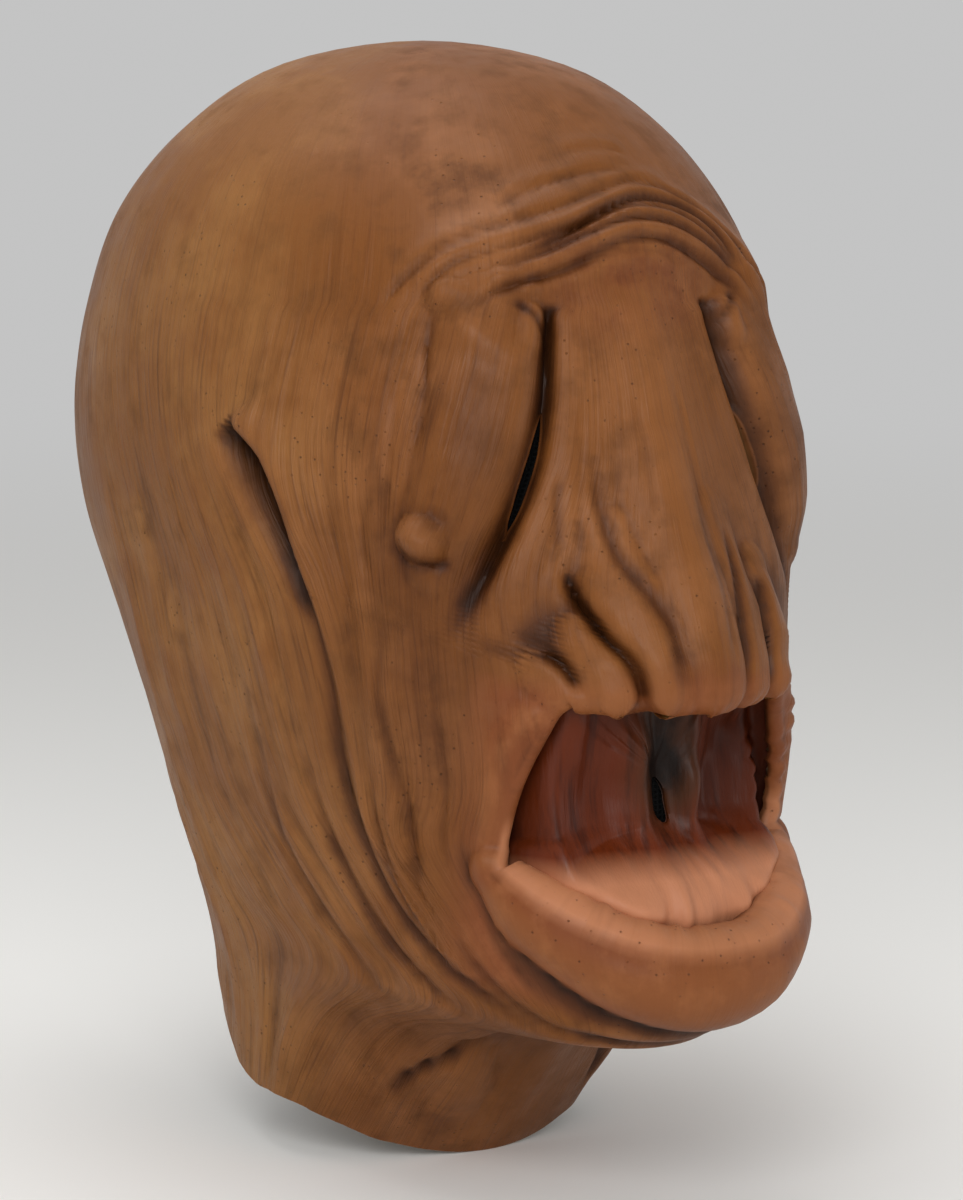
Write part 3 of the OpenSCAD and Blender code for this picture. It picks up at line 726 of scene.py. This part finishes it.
mouthLoop = rolledEdge(holes[0], lipRadius, lip["turns"], 3)
for k, hole in enumerate(holes[1:]):
    rolledEdge(hole, lambda t, high: np.full(t.shape, slitEdge["radius"]), slitEdge["turns"], 20 + k)
neckLoop = np.arange(columns + 1) + rows*(columns + 1)
faces.append(stitch(neckLoop, np.arange(halfColumns + 1) + outerCount + halfRows*(halfColumns + 1)))
below = np.arange(slitRow, rows + 1)*(columns + 1)
halfBelow = outerCount + np.arange(slitRow//2, halfRows + 1)*(halfColumns + 1)
faces.append(stitch(below, halfBelow))
faces.append(stitch(below[::-1] + columns, halfBelow[::-1] + halfColumns))
points, uvs = np.concatenate(points), np.concatenate(uvs)
tone = {key: np.concatenate(value) for key, value in tone.items()}
print("skin walls joined")


def hexColour(code):
    # sRGB hex to linear
    values = [int(code[k:k + 2], 16)/255 for k in (1, 3, 5)]
    return [((v + 0.055)/1.055)**2.4 if v > 0.04045 else v/12.92 for v in values] + [1.0]


def setSockets(tree, node, sockets):
    # a socket's entry is a value or another node's output
    for key, value in sockets.items():
        if isinstance(value, bpy.types.NodeSocket):
            tree.links.new(value, node.inputs[key])
        else:
            node.inputs[key].default_value = value


def addNode(tree, kind, sockets=None, out=0, **settings):
    # a new node, set and linked; gives its output
    node = tree.nodes.new("ShaderNode" + kind)
    for key, value in settings.items():
        setattr(node, key, value)
    setSockets(tree, node, sockets or {})
    return node.outputs[out]


def newMaterial(name):
    material = bpy.data.materials.new(name)
    material.use_nodes = True
    tree = material.node_tree
    return material, tree, tree.nodes["Principled BSDF"]


def coat(tree, below, code, mark, low, high, most=1.0, where=1.0):
    # a coat of colour over what is below, as far as a mark lies between two values
    amount = addNode(tree, "MapRange", {"Value": mark, "From Min": low, "From Max": high, "To Max": most})
    share = addNode(tree, "Math", {0: amount, 1: where}, operation="MULTIPLY")
    return addNode(tree, "Mix", {0: share, 6: below, 7: hexColour(code)}, data_type="RGBA", out=2)


# brushed and sponged acrylic over tan casting latex, sealed satin: streaks run with the drape,
# dark wash and painted shade lie in the folds and hollows, a painted highlight on raised parts, ochre shows on
# the sides and a salmon tone on the lips
paintedLatex = {
    "tan": "#72431c", "tanLight": "#8a5730", "tanDark": "#563213", "ochre": "#80532a", "ochreLight": "#8f6235",
    "umber": "#1e0c03", "washAndShade": "#3d1c0a", "red": "#642e1a", "lip": "#764022", "lipLight": "#8c5532",
    "lipInner": "#ba7c58", "raw": "#94774f",
    "streak": (0.7, 24), "band": (4.0, 60), "patch": 45, "cloud": 13, "grain": 2.4, "pore": 2.9, "bump": 0.95,
    "satin": 0.36, "matt": 0.55}


def latexMaterial():
    look = paintedLatex
    material, tree, shader = newMaterial("painted casting latex")
    uv = addNode(tree, "UVMap", uv_map="drape")
    here = addNode(tree, "TexCoord", out="Object")
    share = {key: addNode(tree, "Attribute", attribute_name=key, out="Fac") for key in tone}
    marks = {}
    for key in ("streak", "band"):      # noise drawn out along the drape: wide, long in mm
        wide, long = look[key]
        drawn = addNode(tree, "Mapping", {"Vector": uv, "Scale": (1/(wide*mm), 1/(long*mm), 1)})
        marks[key] = addNode(tree, "TexNoise", {"Vector": drawn, "Scale": 0.5, "Detail": 4.0, "Roughness": 0.6,
                              "Distortion": 0.25}, noise_dimensions="2D")
    for key in ("patch", "cloud", "grain"):     # sponged paint and the cast's own grain: size in mm
        marks[key] = addNode(tree, "TexNoise", {"Vector": here, "Scale": 1/(look[key]*mm), "Detail": 4.0,
                              "Roughness": 0.62})
    pores = addNode(tree, "TexVoronoi", {"Vector": here, "Scale": 1/(look["pore"]*mm)}, out="Distance")
    pits = addNode(tree, "MapRange", {"Value": pores, "From Min": 0.16, "From Max": 0.04})
    rare = addNode(tree, "MapRange", {"Value": marks["patch"], "From Min": 0.5, "From Max": 0.58})
    # the folds' dark paint: wash and painted shade, broken up by cloud noise
    folds = addNode(tree, "Math", {0: marks["cloud"], 1: 0.5, 2: share["crease"]}, operation="MULTIPLY_ADD")

    # coats from the first to the last: colour, what it follows, from, to, most, where
    coats = [
        ("tanLight", marks["patch"], 0.46, 0.64, 0.7, 1.0),
        ("tanDark", marks["cloud"], 0.5, 0.68, 0.5, 1.0),
        ("ochre", marks["cloud"], 0.1, 0.5, 0.85, share["side"]),
        ("ochreLight", marks["patch"], 0.44, 0.62, 0.7, share["side"]),
        ("tanDark", marks["cloud"], 0.54, 0.7, 0.2, share["side"]),
        ("washAndShade", marks["band"], 0.5, 0.74, 0.22, share["draped"]),
        ("red", marks["cloud"], 0.3, 0.6, 0.6, share["blush"]),
        # painted shade in the cheek hollows, round the eye bags and under the jaw
        ("washAndShade", marks["cloud"], 0.1, 0.5, 0.46, share["hollowShade"]),
        ("lip", share["lip"], 0.1, 0.75, 0.9, 1.0),
        ("lipLight", marks["cloud"], 0.45, 0.62, 0.75, share["lip"]),
        ("red", marks["patch"], 0.52, 0.68, 0.3, share["lip"]),
        ("lipInner", share["inner"], 0.05, 0.8, 0.75, share["lip"]),
        ("washAndShade", marks["streak"], 0.5, 0.7, 0.3, share["draped"]),
        ("umber", marks["streak"], 0.64, 0.74, 0.15, share["draped"]),
        # painted shade with the dark wash in the folds, near black in the deepest
        ("washAndShade", folds, 0.37, 0.8, 0.7, 1.0),
        ("umber", folds, 0.75, 1.25, 0.85, 1.0),
        # painted highlight: lighter tan on the raised parts
        ("tanLight", share["raisedHighlight"], 0.0, 1.0, 0.45, 1.0),
        ("raw", share["inside"], 0.0, 1.0, 1.0, 1.0),
        ("umber", pits, 0.0, 1.0, 0.6, rare)]
    colour = hexColour(look["tan"])
    for name, mark, low, high, most, where in coats:
        colour = coat(tree, colour, look[name], mark, low, high, most, where)

    # relief: each mark times where it shows, added up
    height = 0.0
    for mark, amount, where in ((marks["streak"], 1.0, share["draped"]), (marks["band"], 0.35, share["draped"]),
                                (marks["grain"], 0.12, 1.0), (pits, -0.6, rare)):
        part = addNode(tree, "Math", {0: mark, 1: where}, operation="MULTIPLY")
        height = addNode(tree, "Math", {0: part, 1: amount, 2: height}, operation="MULTIPLY_ADD")
    bump = addNode(tree, "Bump", {"Height": height, "Strength": 0.6, "Distance": look["bump"]*mm})
    gloss = addNode(tree, "MapRange", {"Value": marks["cloud"], "From Min": 0.3, "From Max": 0.7,
                                                 "To Min": look["satin"], "To Max": look["matt"]})
    setSockets(tree, shader, {
        "Base Color": colour, "Roughness": gloss, "Normal": bump, "IOR": 1.5,
        "Specular IOR Level": 0.15, "Subsurface Weight": 0.06, "Subsurface Radius": (0.004, 0.0018, 0.0009),
        "Subsurface Scale": 1.0})
    return material


latex = latexMaterial()

skin = makePiece("maskSkin", points, faces, uvs, tone, latex)
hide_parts("head_skin", "jaw_skin")


def seated(x, y, z):
    # from mm over the form's zero to the frame
    return Vector((x, y, z - drop))*mm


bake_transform(skin)
print("skin made,", len(skin.data.polygons), "faces")


# mouth lining: from behind the lips to the breathing slit

# mm over the form's zero; a bulge is depth, then place and spread across, then place and spread in height
lining = {
    "rings": 46, "wall": 1.6, "slitHalf": 7.0, "slitWide": 2.4, "slitAt": (1.5, -128.0, 127.5), "back": -131,
    "bulges": [(13, 30, 13, 135, 24), (3, -22, 9, 138, 26), (-4.5, -8, 4, 134, 18), (-4.5, 11, 4, 134, 18),
               (4, 1.5, 5, 133, 18)],
}


def makeLining():
    # rings that shrink from the lips' inner edge to the slit, laid on a back wall with bulges and folds
    edge, out = outside.reshape(-1, 3)[mouthLoop], outward.reshape(-1, 3)[mouthLoop]
    run = np.roll(edge, -3, 0) - np.roll(edge, 3, 0)
    inward = unit(np.cross(run, out))
    q = (gridT.ravel()[mouthLoop] - mouth["level"])/mouth["half"]
    deep = 4.6 + 8.5*smooth(0.45, 0.95, q)
    start = edge - deep[:, None]*out - 3.0*inward
    around = np.arange(start.shape[0])/start.shape[0]
    middle = np.array(lining["slitAt"])
    turn = np.arctan2(start[:, 0] - middle[0], start[:, 2] - middle[2])
    c = np.cos(turn)
    slit = middle + np.stack([lining["slitWide"]*np.sin(turn) - 1.6*c, np.zeros(turn.size),
                              lining["slitHalf"]*np.sign(c)*np.abs(c)**0.6], -1)
    s = np.linspace(0, 1, lining["rings"])[:, None]
    flat = start[None]*(1 - s[..., None]) + slit[None]*s[..., None]
    x, z = flat[..., 0], flat[..., 2]
    back = lining["back"] - 20*smooth(124, 96, z)
    for depth, atX, wide, atZ, tall in lining["bulges"]:
        back = back + depth*bell(x, atX, wide)*bell(z, atZ, tall)
    settle = smooth(0.02, 0.34, s)
    y = flat[..., 1]*(1 - settle) + back*settle + 5.5*bell(s, 0.1, 0.07)
    folds = lattice(x/4.6 + 50, z/30 + 50, 31)*1.9 + lattice(x/10 + 9, z/12 + 9, 32)*2.0
    y = y + folds*smooth(0.03, 0.2, s)*(1 - smooth(0.85, 1.0, s))
    ridges = 0.7*lattice(around[None]*46 + 0*s, s*3.0, 33)*smooth(0.03, 0.15, s)*(1 - smooth(0.6, 0.95, s))
    front = np.stack([x, y + ridges, z], -1)
    front = np.concatenate([front, front[:, :1]], 1)
    rear = front + [0, lining["wall"], 0]
    rim = front[-1] + [0, 1.2, 0]       # the slit's lips turn backwards
    front = np.concatenate([front, rim[None]])
    rear = np.concatenate([rear, (rim*[1.25, 1, 1.1] + [0, 0.8, -0.1*middle[2]])[None]])
    aroundSlit = bell(front[..., 0], middle[0], 13)*bell(front[..., 2], 139, 19)
    # painted shade: darker deeper in the mouth, grey-black round the slit and darker at the top
    values = {
        "depth": np.clip((front[..., 1] + 150)/36, 0, 1),
        "floor": smooth(118, 104, front[..., 2]),
        "dark": np.clip(aroundSlit + 0.3*smooth(142, 164, front[..., 2]), 0, 1)}
    values = {key: np.tile(value.ravel(), 2) for key, value in values.items()}
    return *slab(front, rear, wrap=True), twice(front[..., [0, 2]]*mm), values


# glossy acrylic over latex: wet-looking dark red and a pink floor, with painted shade: darker deeper in,
# grey-black round the slit and darker at the top
wetLatex = {
    "wall": "#602509", "deep": "#2a0c03", "floor": "#ba7c5a", "black": "#0c0503", "grey": "#34200f",
    "cloud": 11, "fold": (5, 13, 43), "bump": 1.2, "satin": 0.36, "matt": 0.55}


def liningMaterial():
    look = wetLatex
    material, tree, shader = newMaterial("glossed mouth latex")
    here = addNode(tree, "TexCoord", out="Object")
    share = {key: addNode(tree, "Attribute", attribute_name=key, out="Fac")
             for key in ("depth", "floor", "dark")}
    cloud = addNode(tree, "TexNoise", {"Vector": here, "Scale": 1/(look["cloud"]*mm), "Detail": 4.0,
                                                 "Roughness": 0.65})
    drawn = addNode(tree, "Mapping", {"Vector": here, "Scale": tuple(1/(size*mm) for size in look["fold"])})
    folds = addNode(tree, "TexNoise", {"Vector": drawn, "Scale": 1.0, "Detail": 4.0, "Roughness": 0.6})
    # painted shade round the slit, patchy with the cloud
    slitShade = addNode(tree, "Math", {0: share["dark"], 1: cloud}, operation="ADD")
    coats = [
        # painted shade: darker deeper in the mouth, grey and black round the slit
        ("deep", share["depth"], 0.45, 0.95, 0.75), ("deep", folds, 0.48, 0.66, 0.75),
        ("floor", share["floor"], 0.1, 0.9, 0.95), ("grey", share["dark"], 0.15, 0.6, 0.75),
        ("black", slitShade, 1.1, 1.5, 0.9)]
    colour = hexColour(look["wall"])
    for name, mark, low, high, most in coats:
        colour = coat(tree, colour, look[name], mark, low, high, most)
    gloss = addNode(tree, "MapRange", {"Value": cloud, "From Min": 0.3, "From Max": 0.7,
                                                 "To Min": look["satin"], "To Max": look["matt"]})
    bump = addNode(tree, "Bump", {"Height": folds, "Strength": 0.6, "Distance": look["bump"]*mm})
    setSockets(tree, shader, {"Base Color": colour, "Roughness": gloss, "Normal": bump,
                              "IOR": 1.5, "Specular IOR Level": 0.18})
    return material


points, faces, uvs, values = makeLining()
pouch = makePiece("mouthLining", points, faces, uvs, values, liningMaterial())
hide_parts("mouth_pouch")
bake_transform(pouch)
print("mouth lined")


# nape: two flaps either side of the slit, and the tab across it

def sideTone(count):
    # painted as the sides of the head are, and raw inside
    values = {key: np.zeros(2*count) for key in tone}
    values["side"][:] = 1
    values["inside"][count:] = 1
    return values


def makeFlap(name, side, body, hingeAxis):
    # the skin from the bend to the slit; side is 1 on the left and -1 on the right
    t = levelSteps[slitRow + 1:]
    fold = bendAngle[slitRow + 1:]
    halfGap = np.degrees(np.arcsin(nape["gap"]/np.maximum(levelRow(t)[:, 3], 1)))
    share = np.linspace(0, 1, 29)
    a = fold[:, None] + (180 - halfGap - fold)[:, None]*share
    t = np.repeat(t[:, None], share.size, 1)
    if side < 0:
        a = -a[:, ::-1]
    front, out = sculpt(t, a)[:2]
    points, faces = slab(front, front - out*wall)
    flap = makePiece(name, points, faces, twice(drapeUv(t, a)), sideTone(t.size), latex)
    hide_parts(body)
    axis = unit(np.array(hingeAxis))
    way = np.array([-side, 0.0, 0.0])
    way = unit(way - (way @ axis)*axis)
    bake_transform(flap)


makeFlap("napeFlapLeft", 1, "left_flap", (0.2534, -0.4469, -0.8580))
makeFlap("napeFlapRight", -1, "right_flap", (0.2534, 0.4469, 0.8580))

tab = {"level": 0.677, "half": 22/450, "from": 169.0, "fold": 174.0, "to": 193.8, "thick": 1.8, "off": 0.6,
       "lift": 3.4, "bend": (173.2, 175.4)}


def makeTab():
    # a strip that leaves the left flap, steps up and runs over the slit, with rounded ends
    s = np.linspace(0, 1, 61)
    v = np.linspace(-1, 1, 23)
    angle = tab["from"] + (tab["to"] - tab["from"])*s
    end = 1 - np.clip(np.minimum(s, 1 - s)/0.14, 0, 1)
    half = tab["half"]*(0.55 + 0.45*np.sqrt(np.clip(1 - end**2, 0, 1)))
    a = np.repeat(angle[None], v.size, 0)
    t = tab["level"] + v[:, None]*half[None]
    lift = tab["lift"]*smooth(0.25, 0.6, (a - tab["fold"])/(tab["to"] - tab["fold"]))
    p, n = formPoint(t, a), formNormal(t, a)
    rim = np.maximum(np.abs(v)[:, None]**8, (2*np.abs(s - 0.5)[None])**26)
    front = p + n*(tab["off"] + tab["thick"] + lift - 0.55*rim)[..., None]
    back = p + n*(tab["off"] + lift)[..., None]
    points, faces = slab(front, back)
    values = sideTone(t.size)
    values["inside"][:] = 0
    uv = twice(drapeUv(t, np.where(a > 180, 360 - a, a)))
    strip = makePiece("closureTab", points, faces, uv, values, latex)
    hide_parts("tab_root", "tab")
    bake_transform(strip)


makeTab()
print("nape made")


# foam pads and cloth behind the skin

def behind(t, a):
    # the skin's inner face: under its lowest point nearby
    p, n = formPoint(t, a), formNormal(t, a)
    low = sculpt(t, a)[2]
    for _ in range(2):
        low = lowest(low)
    return p, n, blur(low, 2) - wall


foamPads = {
    "crownPad": {"node": "crown_pad", "levels": (0.0, 0.11), "angles": (-180, 180), "thick": 14},
    "browPad": {"node": "brow_pad", "levels": (0.17, 0.245), "angles": (-32, 32), "thick": 10},
    "templePadLeft": {"node": "left_temple_pad", "levels": (0.33, 0.5), "angles": (64, 100), "thick": 10},
    "templePadRight": {"node": "right_temple_pad", "levels": (0.33, 0.5), "angles": (-100, -64), "thick": 10},
    "backPad": {"node": "back_pad", "levels": (0.2, 0.32), "angles": (150, 210), "thick": 10},
    "chinPad": {"node": "chin_pad", "levels": (0.846, 0.872), "angles": (-22, 22), "thick": 12, "body": "jaw"},
}

# open-cell polyurethane foam, cut with a blade: matt, dark, with open cells of about 0.9 mm
cutFoam = {"colour": "#3a3a3e", "cell": "#161618", "cellSize": 0.9, "fill": 0.6, "roughness": 0.95, "bump": 0.5}


def foamMaterial():
    material, tree, shader = newMaterial("cut polyurethane foam")
    here = addNode(tree, "TexCoord", out="Object")
    cells = addNode(tree, "TexVoronoi", {"Vector": here, "Scale": 1/(cutFoam["cellSize"]*mm)}, out="Distance")
    walls = addNode(tree, "MapRange", {"Value": cells, "From Min": 0.1, "From Max": 0.5})
    colour = coat(tree, hexColour(cutFoam["cell"]), cutFoam["colour"], walls, 0.0, 1.0)
    bump = addNode(tree, "Bump", {"Height": walls, "Strength": 0.8, "Distance": cutFoam["bump"]*mm})
    setSockets(tree, shader, {"Base Color": colour, "Roughness": cutFoam["roughness"],
                              "Normal": bump})
    return material


foam = foamMaterial()


def makePad(name, size):
    # a block under the skin, with eased edges; the crown's covers the whole turn
    (t0, t1), (a0, a1) = size["levels"], size["angles"]
    whole = a1 - a0 == 360
    s = np.linspace(0, 1, 41)
    u = np.linspace(0, 1, 97 if whole else 57)
    even = lambda x: 0.5 - 0.5*np.cos(np.pi*x)     # closer together at both edges
    t = np.repeat((t0 + (t1 - t0)*(np.sin(np.pi/2*s) if whole else even(s)))[:, None], u.size, 1)
    a = np.repeat((a0 + (a1 - a0)*(u if whole else even(u)))[None], s.size, 0)
    p, n, low = behind(t, a)
    edge = np.minimum((t1 - t)/(t1 - t0), 1)
    if not whole:
        edge = np.minimum(np.minimum(edge, (t - t0)/(t1 - t0)), np.minimum(a - a0, a1 - a)/(a1 - a0))
    edgeOf = 1 - 0.22*(1 - smooth(0, 0.2, edge)) + 0.02*lattice(t*160, a/5, 41)
    front = p + n*(np.minimum(low, -wall) - 0.8)[..., None]
    points, faces = slab(front, front - n*(size["thick"]*edgeOf)[..., None], wrap=whole)
    pad = makePiece(name, points, faces, material=foam, sharp=50)
    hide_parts(size["node"])
    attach(pad, size.get("body", "head"))


for name, size in foamPads.items():
    makePad(name, size)
print("pads made")

clothSheets = {
    "eyeScrimLeft": {"node": "left_eye_scrim", "levels": (0.345, 0.48), "side": 1, "thick": 0.5,
                     "cloth": "mesh"},
    "eyeScrimRight": {"node": "right_eye_scrim", "levels": (0.345, 0.48), "side": -1, "thick": 0.5,
                      "cloth": "mesh"},
    "slitPatch": {"node": "slit_patch", "levels": (0.395, 0.445), "angles": (172, 188), "thick": 0.9,
                  "cloth": "gauze"},
    "neckBand": {"node": "neck_band", "levels": (0.957, 0.993), "angles": (-112, 112), "thick": 0.9,
                 "cloth": "gauze"},
}
scrimWide = 16      # degrees across an eye's mesh

# black polyester mesh of 0.8 mm threads, and cotton gauze soaked in latex, both plain woven
weaves = {
    "mesh": {"name": "black polyester mesh", "thread": "#0c0c0c", "gap": "#010101", "pitch": 1.6,
             "roughness": 0.9, "slot": "scrim"},
    "gauze": {"name": "latexed cotton gauze", "thread": "#c9b48b", "gap": "#9a8560", "pitch": 1.5,
              "roughness": 0.6, "slot": "gauze"},
}


def clothMaterial(look):
    # two sines across the sheet make the threads; their gaps are dark
    material, tree, shader = newMaterial(look["name"])
    uv = addNode(tree, "UVMap", uv_map="drape")
    turn = 2*math.pi/(look["pitch"]*mm)
    turns = addNode(tree, "Mapping", {"Vector": uv, "Scale": (turn, turn, 1)})
    split = addNode(tree, "SeparateXYZ", {0: turns})
    sines = [addNode(tree, "Math", {0: split.node.outputs[k]}, operation="SINE") for k in (0, 1)]
    thread = addNode(tree, "Math", {0: sines[0], 1: sines[1]}, operation="MAXIMUM")
    colour = coat(tree, hexColour(look["gap"]), look["thread"], thread, -0.3, 0.5)
    bump = addNode(tree, "Bump", {"Height": thread, "Strength": 0.7, "Distance": 0.3*mm})
    setSockets(tree, shader, {"Base Color": colour, "Roughness": look["roughness"], "Specular IOR Level": 0.15,
                              "Normal": bump})
    return material


cloths = {key: clothMaterial(look) for key, look in weaves.items()}


def makeSheet(name, size):
    # a cut piece laid on the skin's inner face, mapped by its own lengths
    t0, t1 = size["levels"]
    s, u = np.linspace(0, 1, 33), np.linspace(0, 1, 97 if name == "neckBand" else 33)
    t = np.repeat((t0 + (t1 - t0)*s)[:, None], u.size, 1)
    if "side" in size:
        line = np.interp(t, [k[0] for k in eyeLine], [k[1] for k in eyeLine])
        a = size["side"]*line + (u - 0.5)*scrimWide
    else:
        a = np.repeat((size["angles"][0] + (size["angles"][1] - size["angles"][0])*u)[None], s.size, 0)
    p, n, low = behind(t, a)
    front = p + n*(np.minimum(low, -wall) - 0.5)[..., None]
    points, faces = slab(front, front - n*size["thick"])
    across, down = (np.linalg.norm(np.diff(front, axis=axis), axis=-1) for axis in (1, 0))
    across = np.cumsum(np.pad(across, ((0, 0), (1, 0))), 1)
    down = np.cumsum(np.pad(down, ((1, 0), (0, 0))), 0)
    uv = twice(np.stack([across, down], -1)*mm)
    sheet = makePiece(name, points, faces, uv, material=cloths[size["cloth"]])
    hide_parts(size["node"])
    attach(sheet, "head")


for name, size in clothSheets.items():
    makeSheet(name, size)

# the breathing slit's mesh, a rounded rectangle held flat behind the lining
breathMesh = {"wide": 14.0, "tall": 28.0, "thick": 0.6}


def makeBreathMesh():
    low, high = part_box("mouth_scrim")
    centre = (low + high)/2/mm
    size = np.array([breathMesh["wide"], breathMesh["tall"]])/2
    u, s = np.meshgrid(np.linspace(-1, 1, 17), np.linspace(-1, 1, 33))
    x = centre.x + u*size[0]*(1 - 0.06*np.abs(s)**8)
    z = centre.z + drop - s*size[1]*(1 - 0.03*np.abs(u)**6)
    y = np.full(x.shape, centre.y) + 0.4*np.cos(u*1.5)*np.cos(s*1.5)
    front = np.stack([x, y, z], -1)
    points, faces = slab(front, front + [0, breathMesh["thick"], 0])
    sheet = makePiece("breathMesh", points, faces, twice(front[..., [0, 2]]*mm), material=cloths["mesh"])
    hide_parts("mouth_scrim")
    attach(sheet, "head")


makeBreathMesh()
print("cloth made")

# nickel plate on brass, tumbled: satin, with a slightly yellow grey and fine scuffs
nickelPlate = {"colour": "#b9b5ab", "worn": "#8d867a", "satin": 0.24, "matt": 0.44, "scuff": 1.67}


def nickelMaterial():
    look = nickelPlate
    material, tree, shader = newMaterial("tumbled nickel plate")
    here = addNode(tree, "TexCoord", out="Object")
    scuffs = addNode(tree, "TexNoise", {"Vector": here, "Scale": 1/(look["scuff"]*mm), "Detail": 3.0})
    colour = coat(tree, hexColour(look["colour"]), look["worn"], scuffs, 0.45, 0.7)
    gloss = addNode(tree, "MapRange", {"Value": scuffs, "To Min": look["satin"], "To Max": look["matt"]})
    setSockets(tree, shader, {"Base Color": colour, "Metallic": 1.0, "Roughness": gloss})
    return material


nickel = nickelMaterial()
for name in ("snap_cap", "snap_socket", "snap_stud", "snap_post", "tab_rivets"):
    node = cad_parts[name]
    node.data.materials.clear()
    node.data.materials.append(nickel)
print("metal finished")


# floor, light and camera

# mm over the form's zero, apart from the floor's fade, which is in metres
studio = {
    "floor": "#f2f1ee", "world": 0.55, "aim": (0, -20, 180), "fade": (0.8, 2.6),
    "lights": [
        {"name": "key", "at": (-620, -820, 620), "size": 620, "power": 6},
        {"name": "fill", "at": (760, -600, 260), "size": 600, "power": 0.8},
        {"name": "top", "at": (-60, 60, 900), "size": 640, "power": 2.5}],
}
camera = {"azimuth": -33, "elevation": 8, "distance": 1300, "target": (0, -15, 175), "across": 10.3,
          "down": 0.95, "lens": 122.85}


def floorMaterial():
    # matt paper; far off it glows as bright as the backdrop, so no horizon shows
    material, tree, shader = newMaterial("matt studio floor")
    setSockets(tree, shader, {"Base Color": hexColour(studio["floor"]), "Roughness": 0.9})
    here = addNode(tree, "TexCoord", out="Object")
    away = addNode(tree, "VectorMath", {0: here}, operation="LENGTH", out="Value")
    faded = addNode(tree, "MapRange", {"Value": away, "From Min": studio["fade"][0],
                                                 "From Max": studio["fade"][1]},
                    interpolation_type="SMOOTHSTEP")
    glow = addNode(tree, "Emission", {"Color": hexColour("#ffffff"), "Strength": studio["world"]})
    mixed = addNode(tree, "MixShader", {0: faded, 1: shader.outputs[0], 2: glow})
    setSockets(tree, tree.nodes["Material Output"], {0: mixed})
    return material


def buildStudio():
    r, a = np.meshgrid(np.linspace(0, 6000, 7), np.linspace(0, 2*np.pi, 65), indexing="ij")
    disc = np.stack([r*np.cos(a), r*np.sin(a), np.zeros(r.shape)], -1)
    floor = makePiece("floor", disc.reshape(-1, 3), [quadsOf(6, 64)], material=floorMaterial())
    world = bpy.data.worlds.new("studio")
    world.use_nodes = True
    setSockets(world.node_tree, world.node_tree.nodes["Background"],
               {"Color": hexColour("#ffffff"), "Strength": studio["world"]})
    bpy.context.scene.world = world
    for light in studio["lights"]:
        data = bpy.data.lights.new(light["name"], "AREA")
        data.shape, data.size, data.energy = "DISK", light["size"]*mm, light["power"]
        lamp = bpy.data.objects.new(light["name"], data)
        lamp.location = seated(*light["at"])
        lamp.rotation_euler = (seated(*studio["aim"]) - lamp.location).to_track_quat("-Z", "Y").to_euler()
        bpy.context.scene.collection.objects.link(lamp)


def placeCamera():
    az, el = math.radians(camera["azimuth"]), math.radians(camera["elevation"])
    back = Vector((math.sin(az)*math.cos(el), -math.cos(az)*math.cos(el), math.sin(el)))
    side = Vector((math.cos(az), math.sin(az), 0))
    up = back.cross(side)
    aim = seated(*camera["target"]) + (side*camera["across"] - up*camera["down"])*mm
    data = bpy.data.cameras.new("view")
    data.lens, data.sensor_width = camera["lens"], 36
    eye = bpy.data.objects.new("view", data)
    eye.location = aim + back*camera["distance"]*mm
    eye.rotation_euler = back.to_track_quat("Z", "Y").to_euler()
    bpy.context.scene.collection.objects.link(eye)
    bpy.context.scene.camera = eye


buildStudio()
placeCamera()
bpy.context.scene.view_settings.view_transform = "Standard"
print("studio set")
